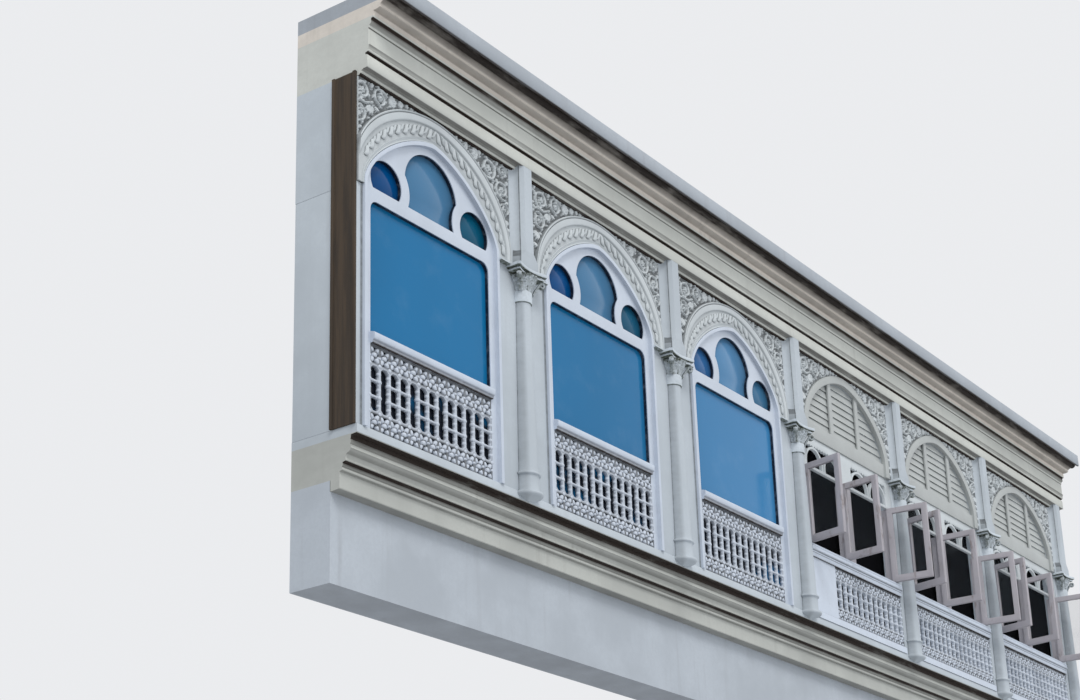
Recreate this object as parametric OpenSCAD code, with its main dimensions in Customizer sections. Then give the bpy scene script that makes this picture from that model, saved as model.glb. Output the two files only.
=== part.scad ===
// Arcaded mashrabiya window screen: one jettied upper storey, three glazed bays and three louvred bays.
// Units are millimetres. Up is +Z, the street face looks towards -Y, the left end is at -X.
// The origin is on the ground, at the middle of the foot of the wall.

/* [Setting out] */
// Distance between bay centres
bay_pitch = 2400; // [2200:10:3000]
// Plain wall between the first casing and the left end
left_jamb = 67; // [40:1:300]
// Wall between the last opening and the right end
right_jamb = 375; // [375:1:700]
// Height of the top of the sill board above the ground
sill_h = 1200; // [700:10:2000]
// Depth of the screen wall from pier face to back face
wall_t = 650; // [500:10:900]
// Overhang of the screen in front of the wall below
jetty = 250; // [210:5:320]

/* [Sill] */
// Height of the corbelled sill below the sill top
sill_drop = 400; // [370:5:600]
// Height of the sill fascia board
fascia_h = 112; // [60:1:130]
// Projection of the fascia in front of the piers
fascia_out = 12; // [4:1:40]

/* [Storey] */
// Height of the arch springing above the sill
spring_z = 2098; // [2080:1:2300]
// Projection of the architrave and strips
band_out = 108; // [80:1:160]
// Depth of the arch fields behind the pier faces
field_in = 20; // [10:1:30]
// Height of the fillet under the architrave
fillet_h = 48; // [30:1:70]
// Projection of the fillet under the architrave
fillet_out = 46; // [30:1:60]
// Gap between the arch crowns and that fillet
crown_gap = 4; // [2:1:40]
// Height of the architrave
architrave_h = 164; // [100:1:240]
// Height of the frieze with its beads
frieze_h = 290; // [250:1:400]
// Height of the crown mouldings
crown_h = 105; // [95:1:200]
// Projection of the slab edge from the pier faces
slab_out = 405; // [280:1:600]
// Height of the slab edge
slab_h = 150; // [80:1:300]

/* [Columns] */
// Radius of the column shafts
shaft_r = 104; // [80:1:120]
// Height of the column foot block
foot_h = 118; // [60:1:200]
// Height of the rings on foot and neck
ring_h = 30; // [16:1:50]
// Top of the abacus below the arch springing
abacus_drop = 48; // [20:1:90]
// Height of the capitals with abacus
cap_h = 320; // [250:1:420]
// Height of the abacus
abacus_h = 60; // [40:1:90]
// Half width of the abacus
abacus_half = 205; // [150:1:230]
// Projection of the abacus from the pier face
abacus_out = 148; // [125:1:200]
// Width of the strips above the capitals
strip_w = 184; // [120:1:300]
// Height of the plain block at the foot of each strip
strip_foot = 165; // [80:1:260]
// Chamfer on the edges of the strips
strip_chamfer = 34; // [10:1:50]

/* [Glazed bays] */
// Wall between two casings
pier_w = 672; // [520:1:760]
// Width of the casing beside the glass
casing_w = 108; // [60:1:130]
// Rise of the casing arch above the springing
casing_rise = 664; // [650:1:740]
// Roundness of the casing arch, where 2 is half an ellipse
casing_round = 1.5; // [1.45:0.05:1.8]
// Width of the raised edge of the casing
edge_w = 34; // [16:1:50]
// Set-back of the glass openings behind the casing face
rebate_w = 12; // [6:1:18]
// Width of the archivolt at its feet
archivolt_w = 154; // [120:1:170]
// Width of the archivolt at the crown
archivolt_crown = 222; // [150:1:240]
// Roundness of the archivolt's outer edge
archivolt_round = 2; // [1.8:0.05:2.2]
// Height of the lattice panels under the glass
lattice_h = 719; // [600:1:760]
// Height of the rail over those lattice panels
guard_rail_h = 99; // [50:1:120]
// Height of the transom
transom_h = 116; // [80:1:160]
// Top of the transom below the springing
transom_drop = 21; // [10:1:40]
// Corner radius of the main glass top
glass_r = 84; // [30:1:120]
// Radius of the side rounds
round_r = 190; // [150:1:200]
// Height of the side round centres above the springing
round_up = 81; // [50:1:110]
// Width of the ring round each side round
ring_w = 100; // [70:1:110]
// Radius of the middle lobe
lobe_r = 336; // [300:1:350]
// Height of the middle lobe top above the springing
lobe_up = 558; // [520:1:590]
// Thickness of the coloured glass
glass_t = 8; // [4:1:12]

/* [Louvred bays] */
// Wall between two openings, behind the columns
post_w = 336; // [300:1:500]
// Opening edge to the outside of the louvred head
head_in = 48; // [20:1:80]
// Springing of the louvred head above the arch springing
head_up = 131; // [100:1:160]
// Rise of the louvred head
head_rise = 750; // [700:1:752]
// Roundness of the louvred head
head_round = 1.7; // [1.6:0.05:2.2]
// Width of the rim of the louvred head
rim_w = 90; // [60:1:110]
// Spacing of the louvre slats
slat_pitch = 84; // [60:1:120]
// Thickness of the louvre slats
slat_t = 14; // [8:1:20]
// Width of the upright bars over the slats
slat_bar_w = 72; // [40:1:90]
// Distance of the upright bars from the bay centre
slat_bar_x = 312; // [250:1:360]
// Bottom of the casement lights above the sill
light_z0 = 798; // [760:1:900]
// Height of the rail under the lights
light_rail_h = 137; // [80:1:160]
// Height of the rail at the foot of the lattice
foot_rail_h = 75; // [40:1:120]
// Height of the fretted panel over the lights
fret_h = 266; // [220:1:300]
// Height of the scalloped valance over the fretted panel
valance_h = 100; // [70:1:120]
// Bay centre to the left face of the middle post
mid_post_x = -156; // [-250:1:-100]
// Width of the middle post
mid_post_w = 200; // [100:1:260]
// Width of the right post
right_post_w = 103; // [60:1:160]
// Width of the left post
left_post_w = 60; // [40:1:70]
// Depth of the window posts
post_t = 90; // [60:1:120]
// Width of a casement leaf
leaf_w = 470; // [350:1:500]
// Gap between the first leaf and the pier
hinge_gap = 4; // [4:1:10]
// Thickness of a casement leaf
leaf_t = 44; // [30:1:60]
// Width of the leaf stiles
stile_w = 64; // [40:1:90]
// Height of the leaf bottom rails
leaf_foot_h = 76; // [50:1:110]
// Width of the plain panel beside the lattice of the first louvred bay
plain_panel_w = 528; // [300:1:700]

/* [Lattice] */
// Spacing of the lattice uprights
lattice_pitch = 116; // [90:1:150]
// Thickness of the lattice bars
lattice_bar = 22; // [16:1:30]
// Depth of the lattice
lattice_t = 36; // [20:1:50]
// Share of the lattice height in each fretted band
band_share = 0.224; // [0.16:0.004:0.28]

/* [Left return] */
// Thickness of the edge posts of the left return
return_t = 24; // [12:1:40]
// Width of those posts
return_post_w = 30; // [20:1:60]

/* [Hidden] */
arch_steps = 24;
round_sides = 48;
// Depths are counted from the pier faces, which lie at face_y
face_y = -(jetty + wall_t) / 2;
casing_half = (bay_pitch - pier_w) / 2;
light_half = (bay_pitch - post_w) / 2;
glass_half = casing_half - casing_w;
archivolt_half = casing_half + archivolt_w;
archivolt_rise = casing_rise + archivolt_crown;
head_half = light_half - head_in;
len = 5 * bay_pitch + casing_half + left_jamb + light_half + right_jamb;
x0 = -len / 2;
x1 = len / 2;
function bc(k) = x0 + left_jamb + casing_half + (k - 1) * bay_pitch;
function pc(k) = bc(k) + bay_pitch / 2;
arch_z = sill_h + spring_z;
top_z = arch_z + archivolt_rise + crown_gap + fillet_h;
glass_z0 = sill_h + lattice_h + guard_rail_h;
transom_z = arch_z - transom_drop;
glass_z1 = transom_z - transom_h;
pane_z = transom_z - transom_h / 2;
round_x = glass_half - round_r;
round_z = arch_z + round_up;
lobe_z = arch_z + lobe_up - lobe_r;
abacus_z = arch_z - abacus_drop;
cap_z = abacus_z - cap_h;
head_z = arch_z + head_up;
fret_top = abacus_z - valance_h;
light_top = fret_top - fret_h;
light_foot = sill_h + light_z0;
mid_post_x1 = mid_post_x + mid_post_w;
right_post_x = light_half - right_post_w;

// A profile of depth and height, drawn out from xa to xb
module along(xa, xb) {
  translate([xa, face_y, 0]) rotate([90, 0, 90]) linear_extrude(height = xb - xa) children();
}

// An outline seen from the street, given a depth from ya to yb
module face(ya, yb) {
  translate([0, face_y + yb, 0]) rotate([90, 0, 0]) linear_extrude(height = yb - ya) children();
}

module box(xa, xb, ya, yb, za, zb) {
  translate([xa, face_y + ya, za]) cube([xb - xa, yb - ya, zb - za]);
}

module rect(xa, xb, za, zb) {
  translate([xa, za]) square([xb - xa, zb - za]);
}

// Arch outline from the right springing over the crown; a roundness of 2 is half an ellipse
function arch_outline(half, z_spring, rise, roundness, z_foot) =
  let (side = [for (i = [0:arch_steps])
    [half * pow(cos(90 * i / arch_steps), 2 / roundness), rise * pow(sin(90 * i / arch_steps), 2 / roundness)]])
  concat([[half, z_foot]], [for (p = side) [p[0], z_spring + p[1]]],
    [for (i = [arch_steps - 1:-1:0]) [-side[i][0], z_spring + side[i][1]]], [[-half, z_foot]]);

module arch(half, z_spring, rise, roundness, z_foot) {
  polygon(arch_outline(half, z_spring, rise, roundness, z_foot));
}

// The casing arch grown by g at its feet and by c at its crown
module casing_arch(g, c, z_foot) {
  arch(casing_half + g, arch_z, casing_rise + c, casing_round, z_foot);
}

// The louvred head arch shrunk by g
module head_arch(g, z_foot) {
  arch(head_half - g, head_z, head_rise - g, head_round, z_foot);
}

module apron_wall() {
  color("Lavender") box(x0, x1, jetty, wall_t, 0, sill_h - sill_drop);
}

module sill_cornice() {
  s = sill_h;
  b = s - sill_drop;
  color("Tan") along(x0, x1)
    polygon([[wall_t, b], [jetty - 14, b], [jetty - 14, b + 40], [jetty - 30, b + 44], [jetty - 30, b + 84],
      [jetty - 70, b + 110], [jetty - 110, b + 122], [jetty - 128, b + 160], [jetty - 176, b + 196],
      [jetty - 196, b + 236], [40, s - fascia_h], [-fascia_out, s - fascia_h], [-fascia_out, s], [wall_t, s]]);
}

module piers() {
  color("Gainsboro") {
    box(x0, bc(1) - casing_half, 0, wall_t, sill_h, abacus_z);
    for (k = [1:2]) box(bc(k) + casing_half, bc(k + 1) - casing_half, 0, wall_t, sill_h, abacus_z);
    box(bc(3) + casing_half, bc(4) - light_half, 0, wall_t, sill_h, abacus_z);
    for (k = [4:5]) box(bc(k) + light_half, bc(k + 1) - light_half, 0, wall_t, sill_h, abacus_z);
    box(bc(6) + light_half, x1, 0, wall_t, sill_h, abacus_z);
  }
}

module head_wall() {
  color("Gainsboro") face(field_in, wall_t) difference() {
    rect(x0, pc(3), abacus_z, top_z);
    for (k = [1:3]) translate([bc(k), 0]) casing_arch(0, 0, abacus_z - 10);
  }
}

module lintel_wall() {
  color("Gainsboro") face(field_in, wall_t) difference() {
    rect(pc(3), x1, abacus_z, top_z);
    for (k = [4:6]) translate([bc(k), 0]) head_arch(rim_w, abacus_z - 10);
  }
}

// Half of a round body, in front of the pier face
module half_turn() {
  intersection() {
    union() children();
    translate([-2 * abacus_half, -2 * abacus_half, 0]) cube([4 * abacus_half, 2 * abacus_half, spring_z]);
  }
}

module columns() {
  block = shaft_r * 1.25;
  color("Gainsboro") for (k = [1:6]) translate([pc(k), face_y, sill_h]) {
    translate([-block, -block, 0]) cube([2 * block, block, foot_h]);
    half_turn() {
      translate([0, 0, foot_h]) cylinder(r = shaft_r * 1.18, h = ring_h, $fn = round_sides);
      translate([0, 0, foot_h + ring_h]) cylinder(r = shaft_r * 1.08, h = ring_h / 2, $fn = round_sides);
      translate([0, 0, foot_h + 1.5 * ring_h])
        cylinder(r = shaft_r, h = cap_z - sill_h - foot_h - 1.5 * ring_h, $fn = round_sides);
    }
  }
}

module capitals() {
  bell_h = cap_h - abacus_h - ring_h;
  color("DarkSeaGreen") for (k = [1:6]) translate([pc(k), face_y, cap_z]) {
    half_turn() {
      cylinder(r = shaft_r * 1.16, h = ring_h, $fn = round_sides);
      translate([0, 0, ring_h]) cylinder(r = shaft_r * 1.02, h = bell_h * 0.3, $fn = round_sides);
      translate([0, 0, ring_h + bell_h * 0.3])
        cylinder(r1 = shaft_r * 1.02, r2 = abacus_out - 20, h = bell_h * 0.7, $fn = round_sides);
    }
    for (m = [-1, 1]) translate([m * (abacus_half - 42), -abacus_out + 52, ring_h + bell_h - 30])
      rotate([0, 90, m * 45]) cylinder(r = 34, h = 44, center = true, $fn = 24);
    translate([-abacus_half + 14, -abacus_out + 14, cap_h - abacus_h])
      cube([2 * abacus_half - 28, abacus_out - 14, abacus_h * 0.45]);
    translate([-abacus_half, -abacus_out, cap_h - abacus_h * 0.55])
      cube([2 * abacus_half, abacus_out, abacus_h * 0.55]);
  }
}

// One strip: a plain foot block, then a shaft with chamfered edges
module strip(k) {
  h = strip_w / 2;
  c = strip_chamfer;
  box(pc(k) - h, pc(k) + h, -band_out, field_in, abacus_z, abacus_z + strip_foot);
  translate([pc(k), face_y, abacus_z + strip_foot]) linear_extrude(height = top_z - abacus_z - strip_foot)
    polygon([[-h, field_in], [-h, c - band_out], [c - h, -band_out], [h - c, -band_out], [h, c - band_out],
      [h, field_in]]);
}

module pilaster_strips() {
  color("White") for (k = [1:6]) strip(k);
}

module architrave() {
  color("Gainsboro") {
    along(x0, x1) rect(-band_out, wall_t, top_z, top_z + architrave_h);
    fillet_run(x0, pc(1) - strip_w / 2);
    for (k = [1:5]) fillet_run(pc(k) + strip_w / 2, pc(k + 1) - strip_w / 2);
    fillet_run(pc(6) + strip_w / 2, x1);
  }
}

module fillet_run(xa, xb) {
  box(xa, xb, -fillet_out, field_in, top_z - fillet_h, top_z + 1);
}

module frieze() {
  z = top_z + architrave_h;
  f = frieze_h;
  color("Gainsboro") along(x0, x1)
    polygon([[wall_t, z], [-band_out, z], [-band_out - 16, z + 8], [-band_out - 16, z + 22],
      [-band_out - 8, z + 30], [-band_out - 8, z + f - 100], [-band_out - 26, z + f - 94],
      [-band_out - 26, z + f - 60], [-band_out - 44, z + f - 54], [-band_out - 44, z + f], [wall_t, z + f]]);
}

module crown_moulding() {
  z = top_z + architrave_h + frieze_h;
  b = band_out + 44;
  color("Tan") along(x0, x1)
    polygon([[wall_t, z], [-b, z], [-b - 24, z + 12], [-b - 40, z + 34], [-b - 62, z + 42], [-b - 62, z + 58],
      [-b - 92, z + 72], [-b - 110, z + 92], [-b - 112, z + crown_h], [wall_t, z + crown_h]]);
}

module cornice_slab() {
  z = top_z + architrave_h + frieze_h + crown_h;
  color("Lavender") box(x0, x1, -slab_out, wall_t, z, z + slab_h);
}

module side_rounds(grow) {
  for (m = [-1, 1]) translate([m * round_x, round_z]) circle(r = round_r + grow, $fn = round_sides);
}

// Openings of one casing, grown by g: lattice panel, main glass, two side rounds and the middle lobe
module casing_holes(g) {
  rect(-glass_half - g, glass_half + g, sill_h, sill_h + lattice_h + g);
  rect(-glass_half - g, glass_half + g, glass_z0 - g, glass_z1 - glass_r);
  rect(-glass_half + glass_r, glass_half - glass_r, glass_z0 - g, glass_z1 + g);
  for (m = [-1, 1]) translate([m * (glass_half - glass_r), glass_z1 - glass_r])
    circle(r = glass_r + g, $fn = round_sides);
  intersection() {
    rect(-casing_half, casing_half, transom_z - g, arch_z + casing_rise);
    union() {
      side_rounds(g);
      difference() {
        union() {
          translate([0, lobe_z]) circle(r = lobe_r + g, $fn = 64);
          rect(-lobe_r - g, lobe_r + g, transom_z - g, lobe_z);
        }
        side_rounds(ring_w - g);
      }
    }
  }
}

module casing(k) {
  color("AliceBlue") translate([bc(k), 0, 0]) {
    face(40, 90) difference() {
      casing_arch(0, 0, sill_h);
      casing_holes(0);
    }
    face(10, 41) difference() {
      casing_arch(0, 0, sill_h);
      casing_holes(rebate_w);
    }
    face(-30, 11) difference() {
      casing_arch(0, 0, sill_h);
      casing_arch(-edge_w, -1.1 * edge_w, sill_h - 10);
    }
  }
}

module casing_1() { casing(1); }
module casing_2() { casing(2); }
module casing_3() { casing(3); }

// Glass lies behind the casings
module panes() {
  for (k = [1:3]) translate([bc(k), 0, 0]) face(90, 90 + glass_t) children();
}

module main_glass() {
  color("SteelBlue") panes() rect(-glass_half - casing_w * 0.8, glass_half + casing_w * 0.8, sill_h, pane_z);
}

module round_glass(m) {
  panes() intersection() {
    translate([m * round_x, round_z]) circle(r = round_r + ring_w * 0.3, $fn = round_sides);
    rect(-casing_half, casing_half, pane_z + 2, arch_z + casing_rise);
  }
}

module blue_rounds() {
  color("RoyalBlue") round_glass(-1);
}

module green_rounds() {
  color("Teal") round_glass(1);
}

module lobe_glass() {
  color("SteelBlue") panes() difference() {
    union() {
      intersection() {
        translate([0, lobe_z]) circle(r = lobe_r + 20, $fn = 64);
        rect(-casing_half, casing_half, pane_z + 2, arch_z + casing_rise);
      }
      rect(-lobe_r, lobe_r, pane_z + 2, lobe_z);
    }
    side_rounds(ring_w * 0.5);
  }
}

// Fretted band of a lattice: crossed bars with a disc at each crossing
module fret_band(n, p, h) {
  b = lattice_bar * 0.7;
  for (i = [0:n - 1]) translate([(i + 0.5) * p, h / 2]) {
    for (m = [-1, 1]) rotate(m * atan(h / p)) square([sqrt(p * p + h * h), b], center = true);
    circle(r = p * 0.2, $fn = 8);
  }
}

// Corner gussets of height h that point the slots of the open grid
module slot_points(n, p, h) {
  for (i = [0:n - 1]) translate([i * p, 0]) {
    polygon([[0, 0], [p * 0.42, 0], [lattice_bar * 0.3, h], [0, h]]);
    polygon([[p * 0.58, 0], [p, 0], [p, h], [p - lattice_bar * 0.3, h]]);
  }
}

// Lattice panel: uprights, two fretted bands and an open grid whose cross bars skip every third column
module lattice(xa, xb, za, zb) {
  w = xb - xa;
  h = zb - za;
  n = round(w / lattice_pitch);
  p = w / n;
  band = h * band_share;
  grid = h - 2 * band;
  b = lattice_bar;
  color("White") face(12, 12 + lattice_t) translate([xa, za]) intersection() {
    square([w, h]);
    union() {
      for (i = [0:n]) translate([i * p - b / 2, 0]) square([b, h]);
      for (z = [b / 4, band, h - band, h - b / 4]) translate([0, z - b / 2]) square([w, b]);
      fret_band(n, p, band);
      translate([0, h - band]) fret_band(n, p, band);
      translate([0, band]) slot_points(n, p, grid * 0.1);
      translate([w, h - band]) rotate(180) slot_points(n, p, grid * 0.1);
      for (j = [1:2]) translate([0, band + grid * j / 3]) {
        for (i = [0:n - 1]) if (i % 3 != 1) translate([i * p, -b * 0.35]) square([p, b * 0.7]);
        for (i = [0:n]) translate([i * p, 0]) circle(r = b * 0.95, $fn = 8);
      }
    }
  }
}

module glazed_lattice(k) {
  lattice(bc(k) - glass_half, bc(k) + glass_half, sill_h, sill_h + lattice_h);
}

module louvred_lattice(k) {
  a = (k == 4) ? plain_panel_w : 0;
  lattice(bc(k) - light_half + a, bc(k) + light_half, sill_h + foot_rail_h, light_foot - light_rail_h);
}

module lattice_1() { glazed_lattice(1); }
module lattice_2() { glazed_lattice(2); }
module lattice_3() { glazed_lattice(3); }
module lattice_4() { louvred_lattice(4); }
module lattice_5() { louvred_lattice(5); }
module lattice_6() { louvred_lattice(6); }

module lattice_rails() {
  lattice_top = sill_h + lattice_h;
  color("White") {
    for (k = [1:3]) along(bc(k) - glass_half, bc(k) + glass_half)
      polygon([[10, lattice_top], [-28, lattice_top], [-36, lattice_top + 14], [-36, glass_z0 - 30],
        [-20, glass_z0 - 8], [10, glass_z0]]);
    for (k = [4:6]) {
      box(bc(k) - light_half, bc(k) + light_half, -20, 60, sill_h, sill_h + foot_rail_h);
      along(bc(k) - light_half, bc(k) + light_half)
        polygon([[60, light_foot - light_rail_h], [-14, light_foot - light_rail_h],
          [-14, light_foot - light_rail_h / 2], [-34, light_foot - light_rail_h / 2],
          [-34, light_foot - 10], [-24, light_foot], [60, light_foot]]);
    }
    box(bc(4) - light_half, bc(4) - light_half + plain_panel_w, 6, 48, sill_h + foot_rail_h,
      light_foot - light_rail_h);
  }
}

// Share s of the archivolt's width, as an arch
module archivolt_arch(s, z_foot) {
  arch(casing_half + s * archivolt_w, arch_z, casing_rise + s * archivolt_crown,
    casing_round + s * (archivolt_round - casing_round), z_foot);
}

module archivolt_ring(ya, s0, s1) {
  face(ya, field_in) difference() {
    archivolt_arch(s1, abacus_z);
    archivolt_arch(s0, abacus_z - 10);
  }
}

module archivolt(k) {
  xa = max(-archivolt_half, x0 - bc(k));
  color("White") translate([bc(k), 0, 0]) intersection() {
    union() {
      archivolt_ring(-22, 0, 0.3);
      archivolt_ring(-34, 0.28, 0.72);
      archivolt_ring(-46, 0.7, 1);
    }
    box(xa, archivolt_half, -band_out, wall_t, abacus_z, top_z);
  }
}

module archivolt_1() { archivolt(1); }
module archivolt_2() { archivolt(2); }
module archivolt_3() { archivolt(3); }

// Carved field between two strips, above z and outside an arch
module spandrel(xa, xb) {
  face(-10, field_in) difference() {
    rect(xa, xb, abacus_z, top_z - fillet_h);
    children();
  }
}

module glazed_spandrels() {
  color("White") for (k = [1:3]) translate([bc(k), 0, 0])
    spandrel(max(x0 - bc(k), strip_w / 2 - bay_pitch / 2), bay_pitch / 2 - strip_w / 2)
      archivolt_arch(1, abacus_z - 10);
}

module louvred_spandrels() {
  color("White") for (k = [4:6]) translate([bc(k), 0, 0])
    spandrel(strip_w / 2 - bay_pitch / 2, bay_pitch / 2 - strip_w / 2) head_arch(0, abacus_z - 10);
}

module lunette(k) {
  color("White") translate([bc(k), 0, 0]) {
    face(-30, field_in) difference() {
      head_arch(0, abacus_z);
      head_arch(rim_w, abacus_z - 10);
    }
    face(-4, 60) rect(-head_half + rim_w, head_half - rim_w, abacus_z, head_z - 15);
    face(-4, field_in) intersection() {
      for (m = [-1, 1]) translate([m * slat_bar_x - slat_bar_w / 2, head_z - 20])
        square([slat_bar_w, head_rise]);
      head_arch(rim_w - 6, abacus_z);
    }
  }
}

module lunette_4() { lunette(4); }
module lunette_5() { lunette(5); }
module lunette_6() { lunette(6); }

// One louvre slat, sloping down towards the street
module slat(z) {
  h = slat_pitch * 1.06;
  along(-head_half, head_half)
    polygon([[field_in, z], [field_in + slat_t, z], [60, z + h - 4], [60, z + h], [60 - slat_t, z + h]]);
}

module louvre_slats() {
  first_z = head_z - 15;
  n = ceil((head_rise - rim_w + 15) / slat_pitch);
  color("Ivory") for (k = [4:6]) translate([bc(k), 0, 0]) intersection() {
    union() {
      for (i = [0:n - 1]) slat(first_z + i * slat_pitch);
    }
    face(0, 100) head_arch(rim_w, first_z);
  }
}

// Fretted panel of one light: two small arched rims in a frame, under a row of scallops
module fret(xa, xb) {
  w = xb - xa;
  r = w / 4 - 14;
  rim = 24;
  n = round(w / 60);
  difference() {
    rect(xa, xb, light_top, fret_top + 30);
    rect(xa + 26, xb - 26, light_top + 30, fret_top + 31);
  }
  intersection() {
    rect(xa, xb, light_top, abacus_z);
    for (m = [0.25, 0.75]) translate([xa + m * w, fret_top - r - 6]) difference() {
      union() {
        circle(r = r, $fn = round_sides);
        rect(-r, r, -r, 0);
      }
      circle(r = r - rim, $fn = round_sides);
      rect(rim - r, r - rim, -r - 1, 0);
    }
  }
  rect(xa, xb, fret_top + 26, abacus_z);
  for (i = [0:n - 1]) translate([xa + (i + 0.5) * w / n, fret_top + 26]) circle(r = w / n / 2 + 1, $fn = 12);
  for (m = [0.25, 0.75]) translate([xa + m * w - 14, fret_top - 16]) square([28, 60]);
}

module frets() {
  color("White") for (k = [4:6]) translate([bc(k), 0, 0]) {
    face(12, 48) {
      fret(left_post_w - light_half, mid_post_x);
      fret(mid_post_x1, right_post_x);
    }
    for (a = [[-light_half, left_post_w - light_half], [mid_post_x, mid_post_x1], [right_post_x, light_half]])
      box(a[0], a[1], 12, 48, light_top, abacus_z);
  }
}

module window_frames() {
  color("RosyBrown") for (k = [4:6]) translate([bc(k), 0, 0]) {
    for (a = [[-light_half, left_post_w - light_half], [mid_post_x, mid_post_x1], [right_post_x, light_half]])
      box(a[0], a[1], 20, 20 + post_t, light_foot, light_top);
  }
}

module sash(w, h) {
  difference() {
    cube([w, leaf_t, h]);
    translate([stile_w, -10, leaf_foot_h]) cube([w - 2 * stile_w, leaf_t + 20, h - leaf_foot_h - stile_w]);
  }
}

// One opened leaf in its place: the x of its hinges, its opening angle and whether it hangs on the right
module leaf_place(k, x, turn, hung_right) {
  translate([bc(k) + x, face_y + 20, light_foot + 6]) mirror([hung_right ? 1 : 0, 0, 0])
    rotate([0, 0, -turn]) children();
}

module each_leaf() {
  for (k = [4:6]) {
    leaf_place(k, hinge_gap - light_half, 100, false) children();
    leaf_place(k, mid_post_x, (k == 5) ? 94 : 84, true) children();
    leaf_place(k, right_post_x, 99, true) children();
  }
}

module sashes() {
  color("RosyBrown") each_leaf() sash(leaf_w, light_top - light_foot - 12);
}

module sash_glass() {
  h = light_top - light_foot - 12 - leaf_foot_h - stile_w;
  color("LightSteelBlue") each_leaf()
    translate([stile_w, leaf_t / 2 - 3, leaf_foot_h]) cube([leaf_w - 2 * stile_w, 6, h]);
}

module left_return() {
  p = return_post_w;
  color("SaddleBrown") {
    box(x0 - return_t / 2, x0, p - 1, jetty - p + 1, sill_h, top_z);
    box(x0 - return_t, x0, 0, p, sill_h, top_z);
    box(x0 - return_t, x0, jetty - p, jetty, sill_h, top_z);
  }
}

apron_wall();
sill_cornice();
piers();
head_wall();
lintel_wall();
columns();
capitals();
pilaster_strips();
architrave();
frieze();
crown_moulding();
cornice_slab();
casing_1();
casing_2();
casing_3();
main_glass();
blue_rounds();
green_rounds();
lobe_glass();
lattice_1();
lattice_2();
lattice_3();
lattice_4();
lattice_5();
lattice_6();
lattice_rails();
archivolt_1();
archivolt_2();
archivolt_3();
glazed_spandrels();
louvred_spandrels();
lunette_4();
lunette_5();
lunette_6();
louvre_slats();
frets();
window_frames();
sashes();
sash_glass();
left_return();
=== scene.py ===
"""Arcaded mashrabiya window screen: plaster, mouldings, turned lattice, carving and tinted glass."""

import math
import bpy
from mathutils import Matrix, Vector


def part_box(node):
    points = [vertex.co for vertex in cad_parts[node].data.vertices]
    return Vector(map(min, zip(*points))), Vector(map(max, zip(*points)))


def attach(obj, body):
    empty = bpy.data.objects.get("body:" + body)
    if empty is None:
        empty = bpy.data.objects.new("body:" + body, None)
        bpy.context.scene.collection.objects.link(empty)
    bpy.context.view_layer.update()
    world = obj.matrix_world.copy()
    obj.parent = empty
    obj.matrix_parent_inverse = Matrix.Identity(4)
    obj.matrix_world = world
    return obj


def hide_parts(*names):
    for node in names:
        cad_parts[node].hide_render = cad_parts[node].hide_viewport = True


bl_info = {
    "name": "Mashrabiya Window Screen",
    "version": (1, 0, 0),
    "blender": (4, 5, 0),
    "location": "View3D > Sidebar > Screen",
    "description": "Dresses an arcaded window screen with mouldings, turned lattice, carving and glass",
    "category": "Add Mesh",
}

from contextlib import contextmanager
from types import SimpleNamespace

import bmesh
import bpy
import numpy as np
from bpy.props import FloatProperty, FloatVectorProperty, PointerProperty
from bpy.types import Operator, Panel, PropertyGroup
from mathutils import Matrix, Vector

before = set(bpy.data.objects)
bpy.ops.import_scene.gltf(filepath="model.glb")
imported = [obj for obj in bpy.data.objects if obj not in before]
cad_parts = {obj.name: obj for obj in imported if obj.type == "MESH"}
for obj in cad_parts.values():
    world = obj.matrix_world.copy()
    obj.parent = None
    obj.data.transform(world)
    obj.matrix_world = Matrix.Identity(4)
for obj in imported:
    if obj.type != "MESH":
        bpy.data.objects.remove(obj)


def low(node):
    """The lower corner of a node's box."""
    return [float(v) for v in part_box(node)[0]]


def high(node):
    """The upper corner of a node's box."""
    return [float(v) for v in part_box(node)[1]]


# Places that the frame gives
GLAZED, LOUVRED = (1, 2, 3), (4, 5, 6)
FACE_Y, SILL_Z = low("piers")[1:]
ABACUS_Z = high("piers")[2]
TOP_Z = high("pilaster_strips")[2]
LEFT_X, RIGHT_X = low("apron_wall")[0], high("apron_wall")[0]
BAYS = [
    (low(node)[0] + high(node)[0]) / 2
    for node in [f"casing_{k}" for k in GLAZED] + [f"lunette_{k}" for k in LOUVRED]
]
PITCH = BAYS[1] - BAYS[0]
COLUMNS = [x + PITCH / 2 for x in BAYS]
STRIP_HALF = high("pilaster_strips")[0] - COLUMNS[5]

# The arches: how far the casings' spring above the abacus and the louvred heads' above those, the width of
# the archivolts at the foot and over the crown, and the roundness of each line, where 2 is half an ellipse
STILT, HEAD_STILT = 0.048, 0.131
ARCHIVOLT_W, ARCHIVOLT_CROWN = 0.154, 0.222
CASING_ROUND, ARCHIVOLT_ROUND, HEAD_ROUND = 1.5, 2.0, 1.7
SPRING_Z = ABACUS_Z + STILT
CASING_HALF = high("casing_1")[0] - BAYS[0]
CASING_RISE = high("casing_1")[2] - SPRING_Z
HEAD_HALF = high("lunette_4")[0] - BAYS[3]
HEAD_Z = SPRING_Z + HEAD_STILT
HEAD_RISE = high("lunette_4")[2] - HEAD_Z

# The casings: depth between face and back, set-back of their ledges, and start of the dark line by the glass
# with the painted reveal shade
CASING_THICK, LEDGE_BACK, PUTTY_SHADE_BACK = 0.080, 0.030, 0.009

# The spandrels: depth of their ground, which lies in front of the piers, and half the gap between two
SPANDREL_FRONT, SPANDREL_GAP = -0.010, 0.164

# Half the width of the strips' foot blocks, and the dirt on the ends of a moulding
BLOCK_HALF, END_DIRT = 0.168, 0.15


def screen_colour(red, green, blue):
    """The linear values of a colour given as it looks on a screen, 0 to 255."""
    return tuple(
        c / 12.92 if c <= 0.04045 else ((c + 0.055) / 1.055) ** 2.4
        for c in (red / 255, green / 255, blue / 255)
    )


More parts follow.
